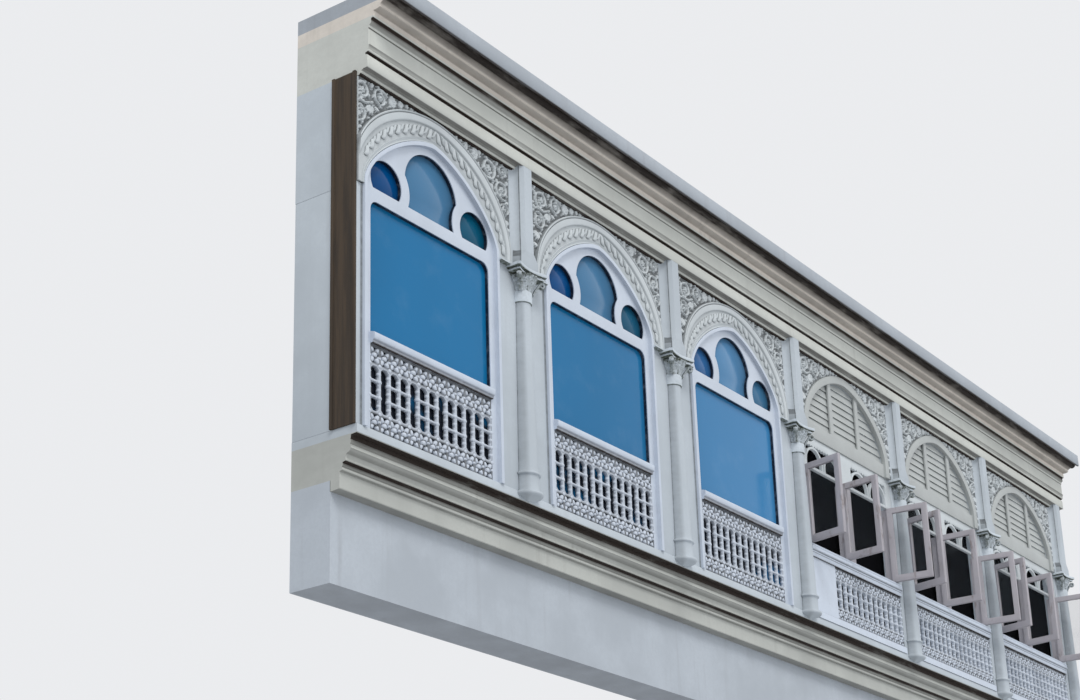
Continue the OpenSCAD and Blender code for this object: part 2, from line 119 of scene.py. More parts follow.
def colour_property(name, description, red, green, blue):
    return FloatVectorProperty(
        name=name, description=description, subtype="COLOR", size=3, min=0, max=1,
        default=screen_colour(red, green, blue),
    )


def size_property(name, description, default, least, most):
    return FloatProperty(
        name=name, description=description, unit="LENGTH", min=least, max=most, default=default,
    )


class ScreenColours(PropertyGroup):
    plaster: colour_property("Plaster", "Limewashed render of piers and bands", 189, 197, 204)
    lavender: colour_property("Wall", "Cool render below the sill and on the slab edge", 180, 187, 195)
    upper: colour_property("Upper bands", "Warmer render of the architrave and frieze", 208, 210, 204)
    cream: colour_property("Mouldings", "Cream render of the crown moulding", 224, 216, 206)
    # Also paints shade: the hollows of carving and lattice and the shaded sides of the columns darken
    # towards this grey
    soot_and_shade: colour_property("Soot", "Grey dirt in the corners of render and carving", 78, 82, 84)
    # Also paints shade: the reveal sides of the casings' holes are this dark blue
    putty: colour_property("Putty", "Dark line between the casings and their glass", 16, 22, 40)
    ledge: colour_property("Sill", "Grey render of the sill mouldings", 184, 186, 181)
    # Also paints shade: undersides, soffits and grooves darken towards this brown, beside its real weather
    # stains
    grime: colour_property("Grime", "Brown weather stains under the mouldings", 44, 32, 24)
    casing: colour_property("Casings", "White paint of casings and rails", 200, 209, 222)
    carving: colour_property("Carving", "White paint of the carved fields", 203, 209, 212)
    lattice: colour_property("Lattice", "White paint of the turned lattice", 204, 212, 224)
    louvre: colour_property("Louvres", "Creamy paint of the louvred heads", 180, 184, 183)
    # Also paints shade: creases, the drum's foot and the parts under the abacus darken towards this green
    moss_and_shade: colour_property("Moss", "Greenish dirt on the capitals", 74, 80, 66)
    sash: colour_property("Sashes", "Weathered paint of the casements", 174, 170, 176)
    boards: colour_property("Boards", "Dark brown boards of the left return", 50, 39, 27)
    blue_glass: colour_property("Blue glass", "Tint of the large panes", 16, 104, 152)
    lobe_glass: colour_property("Lobe glass", "Tint of the middle lobes", 72, 118, 154)
    royal_glass: colour_property("Royal glass", "Tint of the left rounds", 0, 68, 122)
    green_glass: colour_property("Green glass", "Tint of the right rounds", 6, 74, 100)


class ScreenSizes(PropertyGroup):
    edge: size_property("Edge", "Rounding of painted timber edges", 0.004, 0.001, 0.01)
    shaft: size_property("Shaft", "Radius of the column shafts at their foot", 0.104, 0.08, 0.12)
    neck: size_property("Neck", "Radius of the column shafts under the capital", 0.082, 0.06, 0.1)
    reveal: size_property("Reveal", "Depth from a casing's face to its glass", 0.04, 0.01, 0.06)
    relief: size_property("Relief", "Height of the carving over its ground", 0.03, 0.01, 0.05)
    carving_step: size_property("Carving step", "Grid of the carved relief", 0.0065, 0.004, 0.03)
    lattice_pitch: size_property("Lattice pitch", "Spacing of the lattice uprights", 0.116, 0.08, 0.16)
    leaf_pitch: size_property("Leaf pitch", "Spacing of the archivolts' leaves", 0.108, 0.08, 0.2)


def sizes():
    return bpy.context.scene.screen_sizes


class Value:
    """A socket that takes part in Python sums, each of which adds a Math node."""

    def __init__(self, finish, socket):
        self.finish, self.socket = finish, socket

    def sum(self, operation, other, flip=False):
        first, second = (other, self) if flip else (self, other)
        return self.finish.node("ShaderNodeMath", {"operation": operation}, first, second)

    def __add__(self, other):
        return self.sum("ADD", other)

    def __sub__(self, other):
        return self.sum("SUBTRACT", other)

    def __rsub__(self, other):
        return self.sum("SUBTRACT", other, True)

    def __mul__(self, other):
        return self.sum("MULTIPLY", other)

    __radd__ = __add__
    __rmul__ = __mul__


class Finish:
    """The nodes of one material or world, with the textures that the screen's finishes share."""

    def __init__(self, name, store="materials"):
        self.owner = getattr(bpy.data, store).new(name)
        self.owner.use_nodes = True
        self.tree = self.owner.node_tree
        self.tree.nodes.clear()

    def node(self, kind, settings, *values, out=0, **named):
        """Adds a node, then fills its sockets by place or by name; a None is left at its default."""
        made = self.tree.nodes.new(kind)
        for key, value in settings.items():
            setattr(made, key, value)
        for key, value in [*enumerate(values), *((k.replace("_", " "), v) for k, v in named.items())]:
            if value is None:
                continue
            socket = made.inputs[key]
            if isinstance(value, Value):
                self.tree.links.new(value.socket, socket)
            else:
                socket.default_value = (*value, 1) if socket.type == "RGBA" else value
        return Value(self, made.outputs[out])

    def place(self, axis=None):
        """The object's own coordinates, or one of them."""
        place = self.node("ShaderNodeTexCoord", {}, out="Object")
        return self.node("ShaderNodeSeparateXYZ", {}, place, out=axis) if axis else place

    def noise(self, scale, detail=3.0, rough=0.55, stretch=None):
        place = self.place()
        if stretch:
            place = self.node("ShaderNodeMapping", {"vector_type": "POINT"}, place, Scale=stretch)
        return self.node("ShaderNodeTexNoise", {}, Vector=place, Scale=scale, Detail=detail, Roughness=rough)

    def ramp(self, value, start, end, curve="SMOOTHSTEP"):
        return self.node(
            "ShaderNodeMapRange", {"interpolation_type": curve}, Value=value, From_Min=start, From_Max=end,
        )

    def mix(self, share, first, second):
        """A share of the second colour laid over the first one."""
        return self.node("ShaderNodeMix", {"data_type": "RGBA"}, share, *[None] * 5, first, second, out=2)

    def marked(self, name):
        return self.node("ShaderNodeAttribute", {"attribute_name": name}, out="Fac")

    def under(self, start, end):
        """Where the surface looks down."""
        normal = self.node("ShaderNodeNewGeometry", {}, out="Normal")
        return self.ramp(self.node("ShaderNodeSeparateXYZ", {}, normal, out="Z") * -1.0, start, end)

    def bump(self, value, strength, distance):
        return self.node("ShaderNodeBump", {}, Strength=strength, Distance=distance, Height=value)

    def done(self, colour, roughness, bump=None, **others):
        return self.finished(self.node(
            "ShaderNodeBsdfPrincipled", {}, Base_Color=colour, Roughness=roughness, Normal=bump, **others,
        ))

    def finished(self, shader, kind="ShaderNodeOutputMaterial"):
        end = self.tree.nodes.new(kind)
        self.tree.links.new(shader.socket, end.inputs[0])
        return self.owner


def shade(colour, share):
    return tuple(c * share for c in colour)


def render_finish(name, colour, grime, streaks=0.25, clouds=0.08, stained=False, under=0.25, spots=False):
    """Limewashed render: cloudy, streaked by rain, with painted shade on faces that look down, and brown
    stains and painted shade where the mark says so.
    """
    f = Finish(name)
    cloud = f.noise(1.3, 4.0, 0.6)
    fine = f.noise(38.0, 3.0, 0.7)
    tone = f.mix(f.ramp(cloud, 0.35, 0.65), shade(colour, 1 - clouds), shade(colour, 1 + clouds * 0.6))
    tone = f.mix(f.ramp(fine, 0.3, 0.75) * 0.5, tone, shade(colour, 0.93))
    rain = f.ramp(f.noise(1.0, 5.0, 0.62, (9.0, 9.0, 0.55)), 0.52, 0.78) * f.ramp(cloud, 0.3, 0.7)
    tone = f.mix(rain * streaks, tone, tuple(0.45 * c + 0.55 * g * 3 for c, g in zip(colour, grime)))
    # Painted shade: faces that look down darken towards the brown, by the under share
    below = f.under(0.25, 0.9) * under
    tone = f.mix(below * (f.noise(5.0) * 0.8 + 0.6), tone, shade(grime, 1.6))
    # The marks paint brown stains and also shade in soffits, grooves and corners
    if stained:
        if spots:
            patch = f.noise(34.0, 4.0, 0.65) * 3.4 - 0.9
        else:
            patch = f.noise(2.2, 5.0, 0.6, (1.0, 3.0, 6.0)) * 1.1 + 0.45
        tone = f.mix(f.ramp(f.marked("grime") * patch, 0.06, 0.95, "LINEAR"), tone, grime)
    grain = f.noise(95.0, 4.0, 0.7) * 0.5 + f.noise(11.0, 3.0) * 0.9
    return f.done(tone, f.ramp(fine, 0.2, 0.8) * 0.08 + 0.82, f.bump(grain, 0.35, 0.004))


def paint_finish(name, colour, grime, rough=0.5, dirt_and_shade=0.35, marks=None, brush=(30.0, 30.0, 4.0), wear=0.0):
    """Brushed paint on timber or carving, with spots of stain, painted shade on faces that look down, and
    painted shade in the hollows that the mark gives.
    """
    f = Finish(name)
    cloud = f.noise(2.6, 4.0, 0.6)
    fibres = f.noise(6.0, 4.0, 0.65, brush)
    tone = f.mix(f.ramp(cloud, 0.3, 0.7), shade(colour, 0.92), shade(colour, 1.03))
    tone = f.mix(f.ramp(fibres, 0.35, 0.75) * 0.35, tone, shade(colour, 0.86))
    spots = f.ramp(f.noise(24.0, 5.0, 0.7), 0.6, 0.78) * dirt_and_shade
    tone = f.mix(spots, tone, tuple(0.5 * c + 0.5 * g * 2.2 for c, g in zip(colour, grime)))
    if wear:
        bare = f.ramp(f.noise(9.0, 6.0, 0.72, (1.0, 1.0, 0.35)), 0.56, 0.66)
        tone = f.mix(bare * wear, tone, (0.16, 0.12, 0.1))
    # Painted shade on faces that look down
    tone = f.mix(f.under(0.3, 0.95) * 0.22, tone, shade(grime, 2.2))
    # The marks paint shade in hollows, reveals and grooves, with some stains
    if marks:
        patch = f.noise(15.0) * 0.7 + 0.65
        tone = f.mix(f.ramp(f.marked(marks) * patch, 0.05, 1.0, "LINEAR"), tone, grime)
    grain = fibres * 0.6 + f.noise(70.0, 3.0) * 0.4
    return f.done(tone, f.ramp(cloud, 0.2, 0.8) * 0.12 + rough - 0.06, f.bump(grain, 0.18, 0.0015))


def glass_finish(name, colour, deep, rail=None):
    """Tinted pane with a slow sweep of its tint and a painted sky reflection towards the third bay; below
    the rail it is painted dark as the shade behind the lattice.
    """
    f = Finish(name)
    tone = f.mix(f.ramp(f.noise(0.7, 2.0, 0.5, (1.0, 1.0, 0.6)), 0.3, 0.7), shade(colour, deep), colour)
    dust = f.ramp(f.noise(3.0, 4.0, 0.6), 0.5, 0.85)
    tone = f.mix(dust * 0.06, tone, (0.4, 0.5, 0.6))
    # Painted reflection: the panes turn a lighter sky blue towards the third bay
    tone = f.mix(f.ramp(f.place("X"), BAYS[1] - 0.4, BAYS[2] + 0.7) * 0.2, tone, (0.22, 0.5, 0.9))
    if rail:
        # Painted shade behind the lattice, with dim patches of painted light
        glow = f.ramp(f.noise(1.7, 2.0, 0.5, (1.0, 1.0, 1.6)), 0.52, 0.68)
        behind = f.mix(glow, (0.006, 0.008, 0.014), shade(colour, 0.8))
        tone = f.mix(f.ramp(f.place("Z"), rail - 0.02, rail + 0.02), behind, tone)
    return f.done(tone, dust * 0.1 + 0.1, f.bump(f.noise(1.6, 1.0), 0.08, 0.01), Specular_IOR_Level=0.12)


def clear_finish(name):
    f = Finish(name)
    dust = f.ramp(f.noise(2.6, 4.0, 0.6, (1.0, 1.0, 0.6)), 0.5, 0.85)
    tone = f.mix(dust, (0.05, 0.06, 0.07), (0.4, 0.43, 0.45))
    return f.done(tone, dust * 0.15 + 0.05, Alpha=dust * 0.12 + 0.1, Specular_IOR_Level=0.25)


def board_finish(name, colour):
    f = Finish(name)
    boards = f.noise(3.0, 2.0, 0.5, (1.0, 8.0, 0.4))
    fibres = f.noise(8.0, 5.0, 0.7, (6.0, 30.0, 1.2))
    tone = f.mix(f.ramp(boards, 0.3, 0.7), shade(colour, 0.7), shade(colour, 1.7))
    tone = f.mix(f.ramp(fibres, 0.45, 0.75) * 0.6, tone, shade(colour, 2.6))
    return f.done(tone, f.ramp(fibres, 0.2, 0.8) * 0.2 + 0.6, f.bump(fibres, 0.4, 0.003))


FINISHES = {}


def make_finishes():
    given = bpy.context.scene.screen_colours
    c = SimpleNamespace(**{key: tuple(getattr(given, key)) for key in given.__annotations__})
    render, paint, glass = render_finish, paint_finish, glass_finish
    capital = shade(c.plaster, 1.2)
    FINISHES.update(
        plaster=render("limewashed_render", c.plaster, c.grime),
        wall=render("lower_wall_render", c.lavender, c.grime, 0.3, 0.1),
        slab=render("slab_edge_render", shade(c.lavender, 0.88), c.grime, 0.35, 0.08, True),
        moulding=render("stained_moulding_render", c.cream, shade(c.grime, 0.5), 0.5, 0.1, True),
        sill=render("sill_render", c.ledge, shade(c.grime, 0.75), 0.35, 0.1, True),
        band=render("band_render", c.upper, shade(c.grime, 0.8), 0.3, 0.08, True),
        column=render("column_render", c.plaster, c.soot_and_shade, 0.3, 0.07, True, 0.0),
        capital=render("capital_limewash", capital, c.moss_and_shade, 0.4, 0.12, True, 0.5, True),
        casing=paint("casing_paint", c.casing, c.putty, 0.42, 0.12, "putty"),
        rail=paint("rail_paint", shade(c.casing, 1.1), c.grime, 0.5, 0.5, "grime"),
        archivolt=paint("archivolt_paint", c.carving, shade(c.soot_and_shade, 0.7), 0.65, 0.2, "hollow"),
        carving=paint("carving_paint", c.carving, shade(c.soot_and_shade, 0.8), 0.6, 0.2, "hollow"),
        # The lattice's hollows are painted nearly black for the shade in its holes
        lattice=paint("lattice_paint", c.lattice, shade(c.soot_and_shade, 0.25), 0.5, 0.4, "hollow"),
        louvre=paint("louvre_paint", c.louvre, c.grime, 0.5, 0.3, None, (4.0, 30.0, 30.0)),
        sash=paint("sash_paint", c.sash, c.grime, 0.6, 0.6, wear=0.55),
        boards=board_finish("brown_boards", c.boards),
        blue=glass("blue_glass", c.blue_glass, 1.15, high("lattice_1")[2]),
        lobe=glass("lobe_glass", c.lobe_glass, 1.1),
        royal=glass("royal_glass", c.royal_glass, 1.3),
        green=glass("green_glass", c.green_glass, 1.3),
        clear=clear_finish("clear_glass"),
    )


def new_object(name, data):
    obj = bpy.data.objects.new(name, data)
    bpy.context.scene.collection.objects.link(obj)
    return obj


def settle(name, mesh, finish, slot, *nodes, smooth=38):
    """Makes a mesh a piece, with its paint, its shading, its body and the nodes that it stands for."""
    obj = new_object(name, mesh)
    mesh.materials.clear()
    mesh.materials.append(FINISHES[finish])
    mesh.shade_smooth()
    mesh.set_sharp_from_angle(angle=math.radians(smooth))
    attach(obj, "root")
    if nodes:
        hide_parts(*nodes)


@contextmanager
def edited(mesh):
    """A mesh's points, edges and faces to work on, written back at the end."""
    made = bmesh.new()
    made.from_mesh(mesh)
    yield made
    made.to_mesh(mesh)
    made.free()


def cut(made, place, way, **options):
    """Cuts all faces along a plane, and gives the edges of the cut."""
    whole = made.verts[:] + made.edges[:] + made.faces[:]
    found = bmesh.ops.bisect_plane(made, geom=whole, plane_co=place, plane_no=way, **options)
    return [e for e in found["geom_cut"] if isinstance(e, bmesh.types.BMEdge)]


def flatten(made):
    """Joins the faces that lie in one plane."""
    bmesh.ops.dissolve_limit(made, angle_limit=math.radians(0.6), verts=made.verts, edges=made.edges)


def mesh_of(name, verts, faces, marks=None, merge=1e-5):
    """A mesh with its normals outwards and float marks on its points or on its face corners."""
    mesh = bpy.data.meshes.new(name)
    mesh.from_pydata([tuple(v) for v in verts], [], [tuple(f) for f in faces])
    for key, values in (marks or {}).items():
        domain = "POINT" if len(values) == len(mesh.vertices) else "CORNER"
        values = np.asarray(values, np.float32)
        mesh.attributes.new(key, "FLOAT", domain).data.foreach_set("value", values)
    with edited(mesh) as made:
        if merge:
            bmesh.ops.remove_doubles(made, verts=made.verts, dist=merge)
        bmesh.ops.recalc_face_normals(made, faces=made.faces)
    return mesh


class Shapes:
    """Points and faces of several shapes that make one piece, with the stains and painted shade of each face
    corner.
    """

    def __init__(self, mark="grime"):
        self.verts, self.faces, self.corners, self.mark = [], [], [], mark

    def add(self, verts, faces, corners=0.0, points=None):
        """Adds a shape; its stains and painted shade are one number, or a list for the face corners or for
        the points.
        """
        start = len(self.verts)
        self.verts.extend(tuple(v) for v in verts)
        self.faces.extend(tuple(i + start for i in f) for f in faces)
        if points is not None:
            corners = [points[i] for f in faces for i in f]
        elif np.isscalar(corners):
            corners = [corners] * sum(len(f) for f in faces)
        self.corners.extend(corners)

    def piece(self, name, finish, slot, *nodes, smooth=38, merge=1e-5, change=None):
        mesh = mesh_of(name, self.verts, self.faces, {self.mark: self.corners}, merge)
        if change:
            change(mesh)
        settle(name, mesh, finish, slot, *nodes, smooth=smooth)


def outline(start, *steps, parts=6):
    """A moulding's outline from steps of depth, height, stains and painted shade on the way there and, if
    any, bulge.
    """
    points, dirt_and_shade = [start], []
    for depth, height, tone, *bulge in steps:
        bulge = bulge[0] if bulge else 0
        here, there = tone if isinstance(tone, tuple) else (tone, tone)
        first, last = np.array(points[-1]), np.array((depth, height))
        side = np.array((last[1] - first[1], first[0] - last[0])) * bulge
        count = parts if bulge else 1
        for i in range(1, count + 1):
            t = i / count
            points.append(tuple(first + (last - first) * t + side * 2 * t * (1 - t)))
            dirt_and_shade.append((here + (there - here) * (i - 1) / count, here + (there - here) * t))
    return points, dirt_and_shade


def run(shapes, profile, xa, xb, z0, back=None, below=0.0):
    """Draws an outline out along the wall from xa to xb and closes it at its back and ends; below is the
    painted shade of its bottom face.
    """
    points = [(FACE_Y + depth, z0 + height) for depth, height in profile[0]]
    dirt_and_shade = [*profile[1], (below, below)]
    if back is not None:
        points += [(FACE_Y + back, points[-1][1]), (FACE_Y + back, points[0][1])]
        dirt_and_shade[-1:-1] = [(0, 0), (0, 0)]
    n = len(points)
    verts = [(x, y, z) for x in (xa, xb) for y, z in points]
    faces = [(i, (i + 1) % n, n + (i + 1) % n, n + i) for i in range(n)]
    corners = [tone for a, b in dirt_and_shade for tone in (a, b, b, a)]
    faces += [tuple(range(n)), tuple(range(2 * n - 1, n - 1, -1))]
    shapes.add(verts, faces, corners + [END_DIRT] * (2 * n))


def moulding(name, finish, slot, nodes, profile, z0, back, below=0.0):
    """A piece with one outline drawn along the whole front."""
    shapes = Shapes()
    run(shapes, profile, LEFT_X, RIGHT_X, z0, back, below)
    shapes.piece(name, finish, slot, *nodes, smooth=50)


def soft_mesh(node, name, share=1.0, parts=2, change=None):
    """A copy of a node's shape, changed where asked, with its hard edges rounded by a share of the size."""
    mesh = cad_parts[node].data.copy()
    mesh.name = name
    with edited(mesh) as made:
        bmesh.ops.remove_doubles(made, verts=made.verts, dist=1e-5)
        flatten(made)
        if change:
            change(made)
        hard = math.radians(32)
        bmesh.ops.bevel(
            made, geom=[e for e in made.edges if len(e.link_faces) == 2 and e.calc_face_angle(0) > hard],
            offset=sizes().edge * share, offset_type="OFFSET", segments=parts, profile=0.5,
            affect="EDGES", clamp_overlap=True,
        )
        bmesh.ops.triangulate(made, faces=[f for f in made.faces if len(f.verts) > 4])
    return mesh


def softened(node, name, finish, slot, share=1.0, parts=2):
    """A piece that stands for a node, with rounded edges."""
    settle(name, soft_mesh(node, name, share, parts), finish, slot, node)


def keep(node, finish):
    """Paints a node whose shape stays."""
    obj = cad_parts[node]
    if not obj.data.materials:
        obj.data.materials.append(FINISHES[finish])
    for slot in obj.material_slots:
        slot.material = FINISHES[finish]


def lathe(line, centre, sides, start=math.pi, end=2 * math.pi):
    """Points and faces of a body turned about an upright axis; half a turn faces the street."""
    n = len(line)
    verts = [
        (centre[0] + r * math.cos(a), centre[1] + r * math.sin(a), centre[2] + z)
        for a in (start + (end - start) * i / sides for i in range(sides + 1)) for r, z in line
    ]
    faces = [
        (i * n + k, (i + 1) * n + k, (i + 1) * n + k + 1, i * n + k + 1)
        for i in range(sides) for k in range(n - 1)
    ]
    return verts, faces


def loft(sections):
    """Points and faces of a skin over closed sections, one after another, with both ends closed."""
    sections = np.asarray(sections, float)
    n, k = sections.shape[:2]
    faces = [
        (i * k + j, i * k + (j + 1) % k, (i + 1) * k + (j + 1) % k, (i + 1) * k + j)
        for i in range(n - 1) for j in range(k)
    ]
    return sections.reshape(-1, 3), faces + [tuple(range(k - 1, -1, -1)), tuple(range((n - 1) * k, n * k))]


def taken(mesh, mark=None):
    """Points, faces and the marks of stains and painted shade of a plain mesh."""
    verts = np.empty(len(mesh.vertices) * 3)
    mesh.vertices.foreach_get("co", verts)
    faces = [tuple(f.vertices) for f in mesh.polygons]
    layer = mesh.attributes.get(mark) if mark else None
    if layer is None:
        return verts.reshape(-1, 3), faces, 0.0
    values = np.empty(len(layer.data))
    layer.data.foreach_get("value", values)
    if layer.domain == "POINT":
        values = values[[v for f in faces for v in f]]
    return verts.reshape(-1, 3), faces, values.tolist()


def arch_line(half, rise, roundness, parts=36):
    """Arch from its right springing to its left one; a roundness of 2 is half an ellipse."""
    a = np.linspace(0, math.pi / 2, parts + 1)
    a = a + 0.06 * np.sin(4 * a)
    x = half * np.maximum(np.cos(a), 0) ** (2 / roundness)
    z = rise * np.maximum(np.sin(a), 0) ** (2 / roundness)
    x[-1] = 0
    right = np.stack([x, z], 1)
    return np.vstack([right, right[-2::-1] * (-1, 1)])


def archivolt_line(share, parts=36, foot=True):
    """Line at a share of the archivolt's width; it stands on the abacus, or else ends at the springing."""
    line = arch_line(
        CASING_HALF + share * ARCHIVOLT_W, CASING_RISE + share * ARCHIVOLT_CROWN,
        CASING_ROUND + share * (ARCHIVOLT_ROUND - CASING_ROUND), parts,
    )
    if foot:
        down = ABACUS_Z - SPRING_Z
        line = np.vstack([[line[0][0], down], line, [line[-1][0], down]])
    return line


def spaced(line, pitch, shift):
    """Points spaced evenly along a line, near the pitch."""
    reach = np.concatenate([[0], np.cumsum(np.hypot(*np.diff(line, axis=0).T))])
    count = max(1, round(reach[-1] / pitch))
    at = (np.arange(count) + 0.5 + shift) * reach[-1] / count
    at = at[at < reach[-1]]
    return np.stack([np.interp(at, reach, line[:, i]) for i in (0, 1)], 1)


def repeat_tree():
    """Geometry Nodes: an item on each point, turned and scaled by the point's marks, and made real."""
    if "repeat_item" in bpy.data.node_groups:
        return bpy.data.node_groups["repeat_item"]
    tree = bpy.data.node_groups.new("repeat_item", "GeometryNodeTree")
    for name, kind, way in (
        ("Points", "Geometry", "INPUT"), ("Item", "Object", "INPUT"), ("Size", "Float", "INPUT"),
        ("Paint", "Material", "INPUT"), ("Pieces", "Geometry", "OUTPUT"),
    ):
        tree.interface.new_socket(name=name, in_out=way, socket_type=f"NodeSocket{kind}")
    add, link = tree.nodes.new, tree.links.new
    given, end = add("NodeGroupInput"), add("NodeGroupOutput")
    item, place = add("GeometryNodeObjectInfo"), add("GeometryNodeInstanceOnPoints")
    turn, grow = add("GeometryNodeInputNamedAttribute"), add("GeometryNodeInputNamedAttribute")
    turn.data_type = grow.data_type = "FLOAT_VECTOR"
    turn.inputs["Name"].default_value, grow.inputs["Name"].default_value = "turn", "grow"
    scaled, spin = add("ShaderNodeVectorMath"), add("FunctionNodeEulerToRotation")
    scaled.operation = "SCALE"
    real, paint = add("GeometryNodeRealizeInstances"), add("GeometryNodeSetMaterial")
    for source, out, target, into in (
        (given, "Points", place, "Points"), (given, "Item", item, "Object"),
        (item, "Geometry", place, "Instance"), (turn, "Attribute", spin, 0), (spin, 0, place, "Rotation"),
        (grow, "Attribute", scaled, 0), (given, "Size", scaled, "Scale"), (scaled, 0, place, "Scale"),
        (place, 0, real, 0), (real, 0, paint, "Geometry"), (given, "Paint", paint, "Material"),
        (paint, 0, end, 0),
    ):
        link(source.outputs[out], target.inputs[into])
    return tree


def repeated(item, points, finish, turns, grows):
    """The plain mesh of an item repeated on points by Geometry Nodes."""
    seeds = bpy.data.meshes.new("seeds")
    seeds.from_pydata([tuple(p) for p in points], [], [])
    for key, values in (("turn", turns), ("grow", grows)):
        values = np.asarray(values, np.float32).ravel()
        seeds.attributes.new(key, "FLOAT_VECTOR", "POINT").data.foreach_set("vector", values)
    holder, pattern = new_object("seeds", seeds), new_object("item", item)
    modifier = holder.modifiers.new("repeat", "NODES")
    modifier.node_group = repeat_tree()
    given = {s.name: s.identifier for s in modifier.node_group.interface.items_tree if s.in_out == "INPUT"}
    modifier[given["Item"]] = pattern
    modifier[given["Size"]] = 1.0
    modifier[given["Paint"]] = FINISHES[finish]
    graph = bpy.context.evaluated_depsgraph_get()
    graph.update()
    mesh = bpy.data.meshes.new_from_object(holder.evaluated_get(graph), depsgraph=graph)
    holder.modifiers.clear()
    for obj in (holder, pattern):
        bpy.data.objects.remove(obj)
    return mesh


def leaf_mesh(name, wide, bend, lift, parts=9, around=5):
    """A tapered half-round leaf of length 1 along X that lies on the wall; its rim is darkened with painted
    shade where it meets the wall.
    """
    sections = []
    for t in np.linspace(0, 1, parts + 1):
        half = max(wide * math.sin(math.pi * t ** 0.75) ** 0.8, 0.012)
        rise = max(lift * math.sin(math.pi * t ** 0.9) ** 0.6, 0.01)
        a = np.linspace(0, math.pi, around + 1)
        z = bend * math.sin(2 * math.pi * t) + half * np.cos(a)
        front = np.stack([np.full_like(a, t), -rise * np.sin(a), z], 1)
        sections.append(np.vstack([front, [(t, 0.06, z[-1]), (t, 0.06, z[0])]]))
    verts, faces = loft(sections)
    hollow = 0.85 * np.clip(1 + verts[:, 1] / lift * 2.4, 0, 1)
    return mesh_of(name, verts, faces, {"hollow": hollow}, merge=None)


def bead_mesh(name, sides=8, rings=4):
    """A turned bead of radius 1."""
    sections = [
        [(r * math.cos(a), r * math.sin(a), h) for a in np.linspace(0, 2 * math.pi, sides, endpoint=False)]
        for h, r in ((h, max(math.sqrt(1 - h * h), 0.25)) for h in np.linspace(-1, 1, rings + 1))
    ]
    verts, faces = loft(sections)
    # Painted shade at the bead's ends, where it meets its neighbours
    hollow = np.where(np.abs(verts[:, 2]) > 0.9, 0.55, 0.0)
    return mesh_of(name, verts, faces, {"hollow": hollow}, merge=None)


def dome(r, radius):
    """Height of a round back at a distance from its middle."""
    return np.sqrt(np.clip(1 - (r / radius) ** 2, 0, 1))


